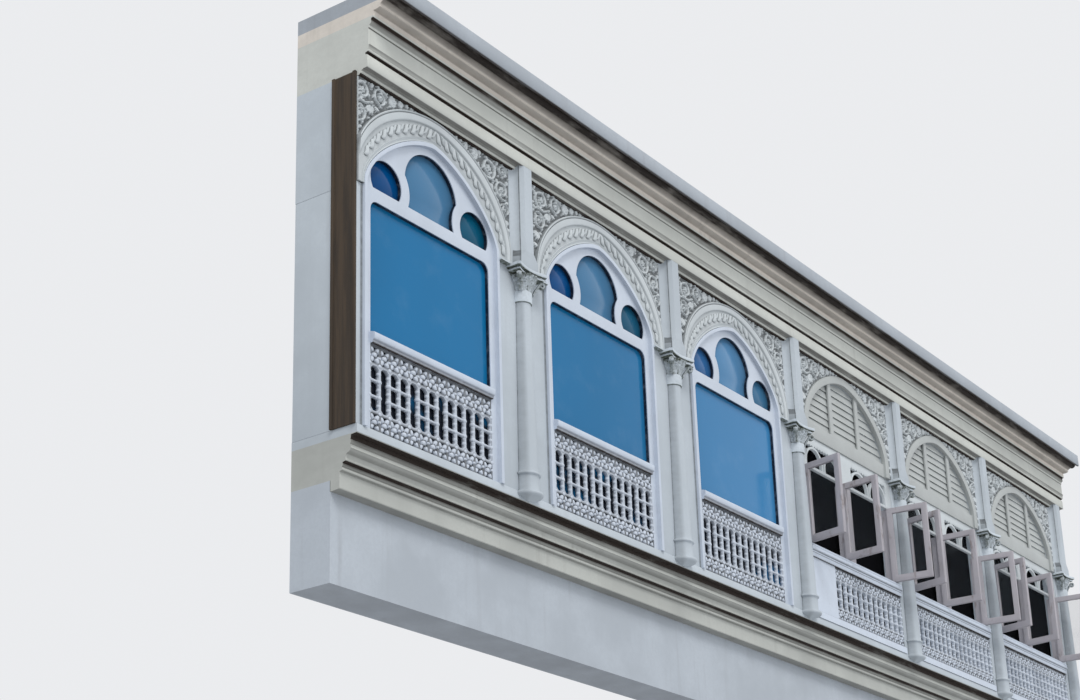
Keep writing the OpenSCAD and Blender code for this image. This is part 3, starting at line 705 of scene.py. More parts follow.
class Relief:
    """A carved field: heights over a grid of the wall, raised by stems, leaves, rosettes and beads."""

    def __init__(self, xa, xb, za, zb, step):
        self.step = step
        self.x = np.arange(xa, xb + step, step)
        self.z = np.arange(za, zb + step, step)
        self.grid_x, self.grid_z = np.meshgrid(self.x, self.z, indexing="ij")
        self.high = np.zeros_like(self.grid_x)

    def near(self, x, z, reach):
        i0, i1 = np.searchsorted(self.x, (x - reach, x + reach))
        j0, j1 = np.searchsorted(self.z, (z - reach, z + reach))
        part = (slice(i0, i1), slice(j0, j1))
        return part, self.grid_x[part] - x, self.grid_z[part] - z

    def raise_to(self, part, height, inside):
        """Raises a part of the field to a height, with a soft rim where the inside ends."""
        t = np.clip(inside / self.step + 0.35, 0, 1)
        self.high[part] = np.maximum(self.high[part], height * (t * t * (3 - 2 * t)))

    def bead(self, x, z, radius, lift):
        part, dx, dz = self.near(x, z, radius + self.step)
        r = np.hypot(dx, dz)
        self.raise_to(part, lift * (0.4 + 0.6 * dome(r, radius)), radius - r)

    def leaf(self, x, z, turn, length, width, lift, curl=0.0, lobes=3.0):
        part, dx, dz = self.near(x, z, length * 1.15)
        u = (dx * math.cos(turn) + dz * math.sin(turn)) / length
        v = -dx * math.sin(turn) + dz * math.cos(turn)
        inside = np.clip(u, 0, 1)
        v = v - curl * length * inside ** 2
        half = width * np.sin(math.pi * inside ** 0.8) ** 0.7
        half = half * (1 + 0.22 * np.cos(2 * math.pi * lobes * inside))
        half = np.where((u > 0) & (u < 1), half, 0)
        across = np.abs(v) / np.maximum(half, 1e-4)
        body = lift * (0.45 + 0.55 * dome(across, 1)) * (0.75 + 0.35 * inside)
        rib = lift * 0.4 * np.exp(-((v / (0.16 * width + 0.002)) ** 2))
        self.raise_to(part, body - rib, half - np.abs(v))

    def stem(self, points, width, lift):
        for (xa, za), (xb, zb) in zip(points[:-1], points[1:]):
            span = math.hypot(xb - xa, zb - za) or 1e-6
            part, dx, dz = self.near((xa + xb) / 2, (za + zb) / 2, span / 2 + width + self.step)
            ex, ez = (xb - xa) / span, (zb - za) / span
            along = np.clip(dx * ex + dz * ez, -span / 2, span / 2)
            r = np.hypot(dx - along * ex, dz - along * ez)
            self.raise_to(part, lift * (0.5 + 0.5 * dome(r, width)), width - r)

    def rosette(self, x, z, radius, lift, petals=6):
        for i in range(petals):
            self.leaf(x, z, 2 * math.pi * i / petals + 0.3, radius, radius * 0.3, lift, 0.0, 0.5)
        self.bead(x, z, radius * 0.26, lift * 1.1)

    def scroll(self, x, z, radius, start, hand, lift):
        """A curling stem with leaves on both sides that ends in a rosette."""
        turns = np.linspace(0, 2.5 * math.pi, 34)
        r = radius * (0.9 - 0.52 * (turns / turns[-1]) ** 0.8)
        a = start + hand * turns
        points = list(zip(x + r * np.cos(a), z + r * np.sin(a)))
        self.stem(points, 0.055 * radius + 0.0035, lift * 0.85)
        for i in range(2, 32, 3):
            out = 1 if (i // 3) % 2 else -1
            turn = a[i] + hand * math.pi / 2 - out * hand * 0.95
            length = radius * (0.42 if out > 0 else 0.3)
            self.leaf(*points[i], turn, length, length * 0.3, lift * 0.9, 0.35 * out * hand)
        self.rosette(x, z, radius * 0.34, lift)

    def fan(self, x, z, radius, turn, lift):
        """Five leaves that spread from one foot."""
        foot_x, foot_z = x - 0.8 * radius * math.cos(turn), z - 0.8 * radius * math.sin(turn)
        for i in (-2, -1, 1, 2, 0):
            self.leaf(
                foot_x, foot_z, turn + i * 0.5, radius * (1.75 - 0.22 * abs(i)), radius * 0.3,
                lift * (1 - 0.08 * abs(i)), -0.12 * i, 1.5,
            )

    def mesh(self, name, keep_if, front):
        """The surface over the cells that are kept, in front of the wall, with painted shade marked in its
        hollows.
        """
        rough = np.sin(self.grid_x * 311) * np.cos(self.grid_z * 277) * 0.0006
        y = FACE_Y + front - self.high - np.where(self.high > 0.004, rough, 0)
        kept = keep_if(self.grid_x, self.grid_z)
        cells = kept[:-1, :-1] & kept[1:, :-1] & kept[:-1, 1:] & kept[1:, 1:]
        index = np.arange(y.size).reshape(y.shape)
        i, j = np.nonzero(cells)
        quads = np.stack([index[i, j], index[i + 1, j], index[i + 1, j + 1], index[i, j + 1]], 1)
        used, flat = np.unique(quads, return_inverse=True)
        points = np.stack([self.grid_x, y, self.grid_z], -1).reshape(-1, 3)[used]
        top = max(float(self.high.max()), 1e-6)
        # Painted shade: the low ground between the carving is marked dark
        hollow = 0.8 * np.clip(1.0 - self.high.ravel()[used] / (0.16 * top), 0, 1)
        mesh = bpy.data.meshes.new(name)
        mesh.from_pydata(points.tolist(), [], flat.reshape(-1, 4).tolist())
        layer = mesh.attributes.new("hollow", "FLOAT", "POINT")
        layer.data.foreach_set("value", hollow.astype(np.float32))
        with edited(mesh) as made:
            if sum(f.normal.y for f in list(made.faces)[:200]) > 0:
                bmesh.ops.reverse_faces(made, faces=made.faces)
            rim = [e for e in made.edges if len(e.link_faces) == 1]
            for part in bmesh.ops.extrude_edge_only(made, edges=rim)["geom"]:
                if isinstance(part, bmesh.types.BMVert):
                    part.co.y = FACE_Y + SPANDREL_FRONT + 0.004
        return mesh


def packed_circles(spots, edge, biggest, smallest, most):
    """Circles that fill a field, each as large as the edge and the earlier ones allow."""
    room = np.min(np.hypot(*(spots[:, None, :] - edge[None, :, :]).transpose(2, 0, 1)), axis=1)
    circles = []
    for _ in range(most):
        i = int(np.argmax(np.minimum(room, biggest) + 0.02 * (spots[:, 1] - spots[:, 1].min())))
        radius = min(float(room[i]), biggest)
        if radius < smallest:
            break
        x, z = spots[i]
        circles.append((x, z, radius))
        room = np.minimum(room, np.hypot(spots[:, 0] - x, spots[:, 1] - z) - radius * 0.93)
    return circles


def carved_corner(relief, outside, edge, side, lift, step=0.02):
    """Fills one corner field beside an arch with scrolls, fans and beads."""
    across, up = (np.arange(line[0], line[-1], step) for line in (relief.x, relief.z))
    gx, gz = np.meshgrid(across, up, indexing="ij")
    inside = outside(gx, gz) & (gx * side > 0)
    circles = packed_circles(np.stack([gx[inside], gz[inside]], 1), edge, 0.125, 0.010, 170)
    hand = side
    for i, (x, z, radius) in enumerate(circles):
        if radius > 0.07:
            relief.scroll(x, z, radius * 0.98, math.atan2(-1, -side) + i * 1.3, hand, lift)
            hand = -hand
        elif radius > 0.022:
            nearest = max(circles[: i or 1], key=lambda c: c[2] - math.hypot(c[0] - x, c[1] - z))
            relief.fan(x, z, radius, math.atan2(z - nearest[1], x - nearest[0]), lift * 0.9)
        else:
            relief.bead(x, z, radius * 0.8, lift * 0.75)


class ScreenPart:
    bl_options = {"REGISTER", "UNDO"}

    def execute(self, context):
        self.build()
        return {"FINISHED"}


class SCREEN_OT_wall(ScreenPart, Operator):
    """Finishes the plain wall, the piers and the arched wall heads"""

    bl_idname = "screen.wall"
    bl_label = "Wall and piers"

    def build(self):
        softened("piers", "pier_render", "plaster", "plaster", 1.5)
        for node, finish in (("apron_wall", "wall"), ("head_wall", "plaster"), ("lintel_wall", "plaster")):
            keep(node, finish)


class SCREEN_OT_sill(ScreenPart, Operator):
    """Runs the corbelled sill moulding and its plaster ledge along the front"""

    bl_idname = "screen.sill"
    bl_label = "Sill moulding"

    def build(self):
        wall = low("apron_wall")[1] - FACE_Y + 0.004
        back = high("sill_cornice")[1] - FACE_Y
        # The marks paint brown stains and shade in the soffits and grooves; the ledge's bottom face is
        # shaded too
        profile = outline(
            (wall, -0.400), (wall, -0.488, 0.0),
            (0.164, -0.482, 0.26), (0.160, -0.477, 0.0, 0.4), (0.160, -0.352, (0.0, 0.08)),
            (0.158, -0.346, 0.25), (0.136, -0.342, 0.25), (0.132, -0.338, 0.0), (0.132, -0.322, 0.0),
            (0.138, -0.316, 0.3), (0.130, -0.288, (0.35, 0.65), -0.4), (0.128, -0.280, 1.0),
            (0.100, -0.275, 1.0), (0.096, -0.271, 0.05), (0.092, -0.222, (0.03, 0.06), 0.3),
            (0.086, -0.216, 0.3), (0.050, -0.190, (0.22, 0.16), -0.3), (0.044, -0.186, 0.1),
            (0.044, -0.162, 0.0, 0.3), (0.056, -0.152, 0.25), (0.054, -0.112, (0.45, 0.65), -0.3),
            (0.050, -0.106, 1.0), (0.048, -0.078, 1.0), (0.000, -0.075, 1.0), (-0.008, -0.074, 1.0),
            (-0.010, -0.070, 0.1),
        )
        moulding("sill_moulding_run", "sill", "stained_moulding", ("sill_cornice",), profile, SILL_Z, back)
        ledge = outline(
            (-0.006, -0.070), (-0.012, -0.068, 0.1), (-0.012, -0.006, (0.06, 0.0)), (-0.008, 0.0, 0.0),
        )
        moulding("sill_ledge_run", "column", "plaster", (), ledge, SILL_Z, back, 0.3)


class SCREEN_OT_cornice(ScreenPart, Operator):
    """Runs the architrave, frieze, crown moulding and slab edge along the top"""

    bl_idname = "screen.cornice"
    bl_label = "Cornice"

    def build(self):
        back = high("architrave")[1] - FACE_Y
        shapes = Shapes()
        # The marks paint brown stains and shade in the soffits and grooves, and the bottom faces are shaded
        run(shapes, outline(
            (-0.104, 0.0), (-0.108, 0.004, 0.15), (-0.108, 0.112, 0.0), (-0.104, 0.116, 0.6),
            (-0.088, 0.118, 1.0), (-0.088, 0.136, 1.0), (-0.114, 0.142, 1.0), (-0.120, 0.149, 0.0),
            (-0.120, 0.162, 0.0), (-0.100, 0.164, 0.1),
        ), LEFT_X, RIGHT_X, TOP_Z, back, 0.62)
        fillet = outline(
            (0.0, -0.044), (-0.026, -0.043, 1.0), (-0.028, -0.034, 1.0), (-0.040, -0.032, 0.9),
            (-0.044, -0.029, 0.0, 0.4), (-0.046, -0.012, 0.0), (-0.050, -0.008, 0.4),
            (-0.064, 0.0, (0.5, 0.62), -0.4),
        )
        cuts = [LEFT_X] + [x + s * STRIP_HALF for x in COLUMNS for s in (-1, 1)] + [RIGHT_X]
        for xa, xb in zip(cuts[0::2], cuts[1::2]):
            run(shapes, fillet, xa, xb, TOP_Z, 0.02, 1.0)
        shapes.piece("architrave_band", "band", "plaster", "architrave", smooth=50)

        frieze = outline(
            (-0.100, 0.164), (-0.120, 0.165, 0.2), (-0.131, 0.200, (0.35, 0.45), 0.25),
            (-0.119, 0.202, 0.2), (-0.118, 0.348, 0.0), (-0.118, 0.354, 0.5), (-0.125, 0.357, 0.6),
            (-0.126, 0.360, 0.05), (-0.126, 0.376, 0.0), (-0.128, 0.380, 0.2),
            (-0.146, 0.420, (0.25, 0.75), -0.5), (-0.148, 0.434, 1.0), (-0.168, 0.438, 1.0),
            (-0.170, 0.441, 0.0), (-0.170, 0.454, 0.0),
        )
        moulding("frieze_run", "band", "plaster", ("frieze",), frieze, TOP_Z, back)
        crown = outline(
            (-0.170, 0.454), (-0.170, 0.496, 0.0), (-0.174, 0.500, 0.25),
            (-0.236, 0.507, (0.3, 0.26), -0.15), (-0.241, 0.509, 0.2), (-0.246, 0.533, 0.0, 0.2),
            (-0.252, 0.537, 0.25), (-0.300, 0.546, (0.4, 0.72), 0.4), (-0.350, 0.566, (0.9, 1.0), -0.3),
            (-0.352, 0.575, 1.0),
        )
        nodes = ("crown_moulding",)
        moulding("crown_moulding_run", "moulding", "stained_moulding", nodes, crown, TOP_Z, back)
        slab = outline(
            (-0.352, 0.575), (-0.372, 0.575, 1.0), (-0.376, 0.560, 1.0), (-0.380, 0.556, 0.9),
            (-0.400, 0.556, 0.8), (-0.405, 0.561, 0.2), (-0.405, 0.704, 0.03), (-0.400, 0.709, 0.1),
        )
        moulding("slab_edge_run", "slab", "slab_edge", ("cornice_slab",), slab, TOP_Z, back)


class SCREEN_OT_columns(ScreenPart, Operator):
    """Turns the engaged half columns with painted shade down their left sides, and paints the shadow gaps
    beside the casings as dark strips
    """

    bl_idname = "screen.columns"
    bl_label = "Columns"

    def build(self):
        shapes = Shapes()
        line = self.line(sizes().shaft, sizes().neck, high("columns")[2] - SILL_Z)
        for x in COLUMNS:
            verts, faces = lathe(line, (x, FACE_Y, SILL_Z), 48)
            shapes.add(verts, faces, points=[self.dirt_and_shade(FACE_Y - vy, vx - x) for vx, vy, _ in verts])
        shadow_gap_strip = outline((-0.003, 0.0), (-0.003, ABACUS_Z - SILL_Z - 0.02, 0.62))
        for x in BAYS[:3]:
            for side in (-1, 1):
                ends = sorted((x + side * (CASING_HALF - 0.004), x + side * (CASING_HALF + 0.024)))
                run(shapes, shadow_gap_strip, *ends, SILL_Z, 0.0, 0.62)
        shapes.piece("half_columns", "column", "plaster", "columns", smooth=34)

    def line(self, r, neck, top):
        """Radius and height of the foot, the drum, its ring and the tapered shaft."""
        def torus(radius, bulge, z, h):
            turns = np.linspace(0, math.pi, 9)
            return [(radius + bulge * math.sin(a), z + h / 2 - h / 2 * math.cos(a)) for a in turns]

        start = 0.215
        return [
            (0.02, -0.066), (0.116, -0.038), *torus(0.118, 0.026, -0.038, 0.042), (0.115, 0.006),
            (0.112, 0.014), (r * 1.06, 0.020), (r * 1.05, 0.144), *torus(r * 1.07, 0.016, 0.148, 0.024),
            (r * 1.05, 0.174), (r * 1.01, 0.190), (r, start),
            *((r - (r - neck) * t ** 1.2, start + (top - start) * t) for t in np.linspace(0.1, 1, 9)),
        ]

    def dirt_and_shade(self, out, across):
        """Painted shade of a point: down the left side, and in the corner with the wall."""
        turned = math.atan2(out, across)
        corner = max(0.0, (0.10 - math.sin(turned)) * 5.0)
        left = min(max((-math.cos(turned) - 0.45) / 0.35, 0.0), 1.0)
        return min(0.30 * left + corner, 0.75)


class SCREEN_OT_strips(ScreenPart, Operator):
    """Makes the strips over the capitals, with their foot blocks and hollow mouldings"""

    bl_idname = "screen.strips"
    bl_label = "Strips"

    def build(self):
        half, wide = STRIP_HALF, BLOCK_HALF
        front = FACE_Y - low("pilaster_strips")[1]
        foot, stop, top = 0.085, 0.160, TOP_Z - ABACUS_Z
        t = np.linspace(0, 1, 8)
        hollow_x = 0.160 * (1 - t) ** 2 + 0.100 * 2 * t * (1 - t) + half * t ** 2
        hollow_out = 0.014 * (1 - t) ** 2 + 0.018 * 2 * t * (1 - t) + (front - 0.038) * t ** 2
        hollowed = [
            (wide, -0.014), (wide - 0.002, 0.012), *zip(hollow_x, hollow_out),
            (half - 0.006, front - 0.038), (half - 0.007, front - 0.031), (half - 0.036, front),
        ]
        side = np.linspace(0.016, front - 0.016, 8)
        block = [
            (wide, -0.014), (wide, 0.012),
            *((wide - 0.040 * (v - 0.016) / (front - 0.032), v) for v in side),
            (wide - 0.042, front - 0.010), (wide - 0.046, front - 0.004), (wide - 0.052, front - 0.001),
        ]
        # Painted shade: at the back edge by the spandrel, in the quirk by the front, on the foot blocks and
        # at the stops
        tones = [1.0, 0.4, 0.0, 0.0, 0.02, 0.04, 0.08, 0.12, 0.2, 0.9, 0.5, 0.0]
        ring = tones + [0.0] + tones[::-1] + [0.0]
        marks = [
            max(tone, least) if tone or not least else 0.1
            for least in (0.45, 0.75, 0.0) for tone in ring for _ in range(4)
        ]
        shapes = Shapes()
        for x in COLUMNS:
            sections = [
                [(x + s * a, FACE_Y - b, ABACUS_Z + z) for s, line in ((-1, half_line), (1, half_line[::-1]))
                 for a, b in line]
                for z, half_line in ((0.0, block), (foot, block), (stop, hollowed), (top, hollowed))
            ]
            shapes.add(*loft(sections), marks + [0.0] * (2 * len(ring)))
        shapes.piece("strip_render", "column", "plaster", "pilaster_strips", smooth=34, merge=None)


class SCREEN_OT_capitals(ScreenPart, Operator):
    """Makes the leafy capitals and the imposts beside them"""

    bl_idname = "screen.capitals"
    bl_label = "Capitals"

    def build(self):
        base = low("capitals")[2]
        top = high("capitals")[2] - base
        half = high("capitals")[0] - COLUMNS[5]
        out = FACE_Y - low("capitals")[1]
        r = sizes().neck
        shapes = Shapes()
        drum = [
            (r * 0.4, 0.0), (r * 1.06, 0.0), (r * 1.16, 0.006), (r * 1.18, 0.104), (r * 1.14, 0.112),
            (r * 1.05, 0.118), (r * 1.2, top - 0.064), (r * 0.4, top - 0.064),
        ]
        bell, bell_faces, bell_moss_and_shade = self.bell(r, top - 0.060)
        for x in COLUMNS:
            centre = (x, FACE_Y, base)
            verts, faces = lathe(drum, centre, 8, 0.875 * math.pi, 2.125 * math.pi)
            low_z, high_z = base + 0.004, base + 0.11
            # Painted shade: a dark line at the drum's foot and under the bell
            marks = [1.0 if v[2] < low_z else 0.8 if v[2] > high_z else 0.12 for v in verts]
            shapes.add(verts, faces, points=marks)
            shapes.add(bell + centre, bell_faces, bell_moss_and_shade)
            for side in (-1, 1):
                verts, faces = self.horn(side, half, out, top)
                # Horns darkened: green stains and painted shade
                shapes.add(verts + centre, faces, 0.62)
            for verts, faces in self.abacus(half, out, top):
                # Painted shade under the abacus and down its left side
                under = np.where(verts[:, 2] < verts[:, 2].min() + 0.003, 0.9, 0.04)
                marks = under + np.where(verts[:, 0] < -0.8 * half, 0.15, 0)
                shapes.add(verts + centre, faces, points=marks)
        # Painted shadow line under each impost
        impost = outline((-0.040, -0.012), (-0.050, -0.009, 0.7), (-0.050, 0.002, 0.2))
        for x in BAYS[:3]:
            for side in (-1, 1):
                ends = sorted((x + side * CASING_HALF, x + side * (CASING_HALF + ARCHIVOLT_W + 0.006)))
                if ends[0] > LEFT_X:
                    run(shapes, impost, *ends, ABACUS_Z, 0.0, 0.7)
        shapes.piece("leafy_capitals", "capital", "capital_stone", "capitals", smooth=44, merge=None)

    def bell(self, r, top):
        """Two rows of carved leaves with small rosettes over them, wrapped round the bell."""
        foot, reach = 0.112, 0.19
        field = Relief(-reach, reach, foot, top, 0.0042)
        gap = 2 * reach / 5
        for row, start, tall, lift in ((0.0, foot - 0.004, 0.100, 0.016), (0.5, foot + 0.046, 0.112, 0.024)):
            for i in range(-3, 4):
                for turn, share in ((0.75, 0.7), (-0.75, 0.7), (0.36, 0.9), (-0.36, 0.9), (0.0, 1.0)):
                    field.leaf(
                        (i + row) * gap, start, math.pi / 2 + turn, tall * share, 0.040 * 0.42,
                        lift * (0.7 + 0.3 * share), -0.4 * turn, 3.5,
                    )
        for i in range(-3, 4):
            field.rosette(i * gap, top - 0.022, 0.022, 0.026, 5)
            field.bead((i + 0.5) * gap, top - 0.014, 0.011, 0.022)
        turn = 1.5 * math.pi + field.grid_x / reach * math.pi / 2
        rise = np.clip((field.grid_z - foot) / (top - foot), 0, 1)
        body = r * 1.06 + 0.040 * rise ** 1.5 + field.high * (0.6 + 0.7 * rise)
        verts = np.stack([body * np.cos(turn), body * np.sin(turn), field.grid_z], -1).reshape(-1, 3)
        index = np.arange(body.size).reshape(body.shape)
        faces = np.stack([index[:-1, :-1], index[1:, :-1], index[1:, 1:], index[:-1, 1:]], -1)
        faces = faces.reshape(-1, 4)
        # Painted shade in the leaves' creases, under the abacus and down the left side, over a floor of
        # green stains
        hollow = 0.9 * np.clip(1 - field.high / 0.012, 0, 1)
        under = np.clip((rise - 0.6) * 2.0, 0, 0.7) + np.where(field.grid_x < -0.2 * reach, 0.3 * rise, 0)
        dirt_and_shade = np.clip(np.maximum(np.maximum(hollow, under), 0.34), 0, 1).ravel()
        return verts, [tuple(f) for f in faces.tolist()], dirt_and_shade[faces].ravel().tolist()

    def horn(self, side, half, out, top):
        """A volute that curls under a corner of the abacus."""
        corner = np.array((side * (half - 0.035), -(out - 0.035)))
        start = corner * 0.52
        way = corner / np.hypot(*corner)
        sections = []
        for t in np.linspace(0, 1, 22):
            curl = max(0.0, (t - 0.35) / 0.65)
            reach = min(t / 0.35, 1.0)
            a = curl * 2.6 * math.pi
            grow = 0.030 * (1 - 0.62 * curl)
            place = start + (corner - start) * (0.86 * reach)
            middle = np.array((*place, top - 0.205 + 0.125 * reach ** 0.8 - 0.006))
            ahead = np.array((*way, 0.6))
            if curl:
                middle = middle + np.array((*(way * math.sin(a)), math.cos(a))) * grow - (0, 0, grow)
                ahead = np.array((*(way * math.cos(a)), -math.sin(a)))
            wide = 0.024 * (1 - 0.3 * curl)
            cross = np.array((-way[1], way[0], 0.0)) * wide
            normal = np.cross(cross / wide, ahead / np.linalg.norm(ahead)) * 0.013 * (1 - 0.45 * curl)
            sections.append([
                middle + cross * across + normal * over
                for across, over in ((-1, -0.4), (-0.5, 0.9), (0, 0.5), (0.5, 0.9), (1, -0.4), (0, -1))
            ])
        return loft(sections)

    def abacus(self, half, out, top):
        """Two concave-sided slabs with a hollow between them."""
        bow = np.linspace(-1, 1, 15)
        for inset, from_top, to_top in ((0.022, 0.062, 0.042), (0.030, 0.042, 0.032), (0.0, 0.032, 0.0)):
            z0, z1 = top - from_top, top - to_top
            sections = []
            for z, more in ((z0, 0.004), (z0 + 0.004, 0.0), (z1 - 0.004, 0.0), (z1, 0.004)):
                h, o = half - inset - more, out - inset - more
                front = [(h * 0.93 * b, -o + 0.034 * (1 - b * b), z) for b in bow]
                sides = [(h, -o + 0.022, z), (h, 0.03, z), (-h, 0.03, z), (-h, -o + 0.022, z)]
                sections.append(front + sides)
            yield loft(sections)


class SCREEN_OT_casings(ScreenPart, Operator):
    """Rounds the painted edges of the three glazed casings and paints shade on the sides of their holes"""

    bl_idname = "screen.casings"
    bl_label = "Casings"

    def build(self):
        for k in GLAZED:
            face = high(f"casing_{k}")[1] - CASING_THICK
            name = f"casing_paintwork_{k}"
            mesh = soft_mesh(f"casing_{k}", name, 1.25, 3, lambda made: self.flush(made, face))
            with edited(mesh) as made:
                # Painted shade: the sides of the holes behind the line are marked dark, with the dark line
                # by the glass
                line = face + PUTTY_SHADE_BACK
                cut(made, (0, line, 0), (0, 1, 0))
                dark = made.loops.layers.float.new("putty")
                for polygon in made.faces:
                    if polygon.calc_center_median().y > line:
                        for corner in polygon.loops:
                            corner[dark] = 1.0
            settle(name, mesh, "casing", "casing_white", f"casing_{k}")

    def flush(self, made, face):
        """Brings the set-back ledges up to the casing's face."""
        for vert in made.verts:
            if abs(vert.co.y - face - LEDGE_BACK) < 0.002:
                vert.co.y = face
        bmesh.ops.remove_doubles(made, verts=made.verts, dist=1e-4)
        bmesh.ops.dissolve_degenerate(made, edges=made.edges, dist=1e-4)
        flatten(made)


class SCREEN_OT_archivolts(ScreenPart, Operator):
    """Sweeps the archivolt mouldings round the casings and lays a ring of leaves on them"""

    bl_idname = "screen.archivolts"
    bl_label = "Archivolts"

    def build(self):
        # Share of the width, depth, and painted shade in the grooves and at the back edges
        section = (
            (0.0, 0.012, 1.0), (0.0, -0.018, 1.0), (0.02, -0.025, 0.0), (0.045, -0.025, 0.0),
            (0.06, -0.019, 0.3), (0.07, -0.018, 0.0), (0.12, -0.026, 0.0), (0.14, -0.030, 0.0),
            (0.155, -0.020, 0.2), (0.66, -0.022, 0.2), (0.68, -0.036, 0.1), (0.72, -0.040, 0.0),
            (0.90, -0.044, 0.0), (0.91, -0.038, 0.7), (0.925, -0.038, 0.7), (0.94, -0.046, 0.0),
            (0.965, -0.050, 0.0), (0.985, -0.046, 0.0), (1.0, -0.040, 0.6), (1.0, 0.012, 0.6),
        )
        rows = [archivolt_line(share) for share, _, _ in section]
        leaf = leaf_mesh("archivolt_leaf", 0.20, 0.10, 0.2)
        for k, x in zip(GLAZED, BAYS):
            sections = [
                [(x + row[i][0], FACE_Y + depth, SPRING_Z + row[i][1])
                 for row, (_, depth, _) in zip(rows, section)]
                for i in range(len(rows[0]))
            ]
            shapes = Shapes("hollow")
            shapes.add(*loft(sections), points=[dirt_and_shade for _, _, dirt_and_shade in section] * len(sections))
            shapes.add(*taken(repeated(leaf, *self.leaves(x)), "hollow"))
            shapes.piece(
                f"archivolt_leaf_ring_{k}", "archivolt", "carved_white", f"archivolt_{k}", smooth=50,
                merge=None, change=self.cut_left if k == 1 else None,
            )

    def leaves(self, x):
        """Places, paint, turns and sizes of the leaves round one arch, large and small by turns."""
        crown = CASING_RISE + 0.41 * ARCHIVOLT_CROWN
        points, turns, grows = [], [], []
        for shift, reach, wide, share in ((0.0, 1.0, 1.0, 0.40), (0.5, 0.82, 0.5, 0.46)):
            for px, pz in spaced(archivolt_line(share, 40, False), sizes().leaf_pitch, shift):
                hand = 1 if px > 0 else -1
                lean = math.pi / 2 + hand * (0.55 + 0.1 * pz / crown)
                long = (0.112 + 0.024 * max(pz, 0) / crown) * reach
                start = np.array((px, pz)) - 0.5 * long * np.array((math.cos(lean), math.sin(lean)))
                if x + start[0] < LEFT_X + 0.03 or SPRING_Z + start[1] < ABACUS_Z:
                    continue
                points.append((x + start[0], FACE_Y - 0.020, SPRING_Z + start[1]))
                turns.append((0, -lean, 0))
                grows.append((long, 0.125, 0.125 * hand * wide))
        return points, "archivolt", turns, grows

    def cut_left(self, mesh):
        """Cuts the first archivolt off at the screen's left end and closes the cut."""
        with edited(mesh) as made:
            rim = cut(made, (LEFT_X + 0.001, 0, 0), (-1, 0, 0), clear_outer=True)
            bmesh.ops.holes_fill(made, edges=rim)


class SCREEN_OT_spandrels(ScreenPart, Operator):
    """Carves the spandrels"""

    bl_idname = "screen.spandrels"
    bl_label = "Spandrels"

    def build(self):
        keep("glazed_spandrels", "archivolt")
        keep("louvred_spandrels", "carving")
        for k, x in enumerate(BAYS, 1):
            if k in GLAZED:
                half, rise, base = CASING_HALF + ARCHIVOLT_W, CASING_RISE + ARCHIVOLT_CROWN, SPRING_Z
                self.carve(k, x, half, rise, base, ARCHIVOLT_ROUND, "archivolt")
            else:
                self.carve(k, x, HEAD_HALF, HEAD_RISE, HEAD_Z, HEAD_ROUND, "carving")

    def carve(self, k, x, half, rise, base, power, finish):
        side, bottom, top = PITCH / 2 - SPANDREL_GAP, ABACUS_Z - base, TOP_Z - base - 0.04
        sides, across = np.arange(bottom, top, 0.02), np.arange(-side, side, 0.02)

        def outside(gx, gz, margin=0.0):
            a, b = half - margin, rise - margin
            above = (np.abs(gx) / a) ** power + (np.maximum(gz, 0) / b) ** power > 1
            return np.where(gz > 0, above, np.abs(gx) > a)

        edge = np.vstack([
            arch_line(half, rise, power, 60), [(s * side, z) for s in (-1, 1) for z in sides],
            [(v, top) for v in across], [(s * v, bottom) for s in (-1, 1) for v in (half, side)],
        ])
        relief = Relief(-side, side, bottom, top, sizes().carving_step)
        for hand in (-1, 1):
            carved_corner(relief, outside, edge, hand, sizes().relief)
        relief.grid_x, relief.grid_z = relief.grid_x + x, relief.grid_z + base
        name = f"spandrel_carving_{k}"
        mesh = relief.mesh(
            name, lambda gx, gz: outside(gx - x, gz - base, 0.008) & (gx > LEFT_X + 0.002),
            SPANDREL_FRONT - 0.0005,
        )
        settle(name, mesh, finish, "carved_white", smooth=60)


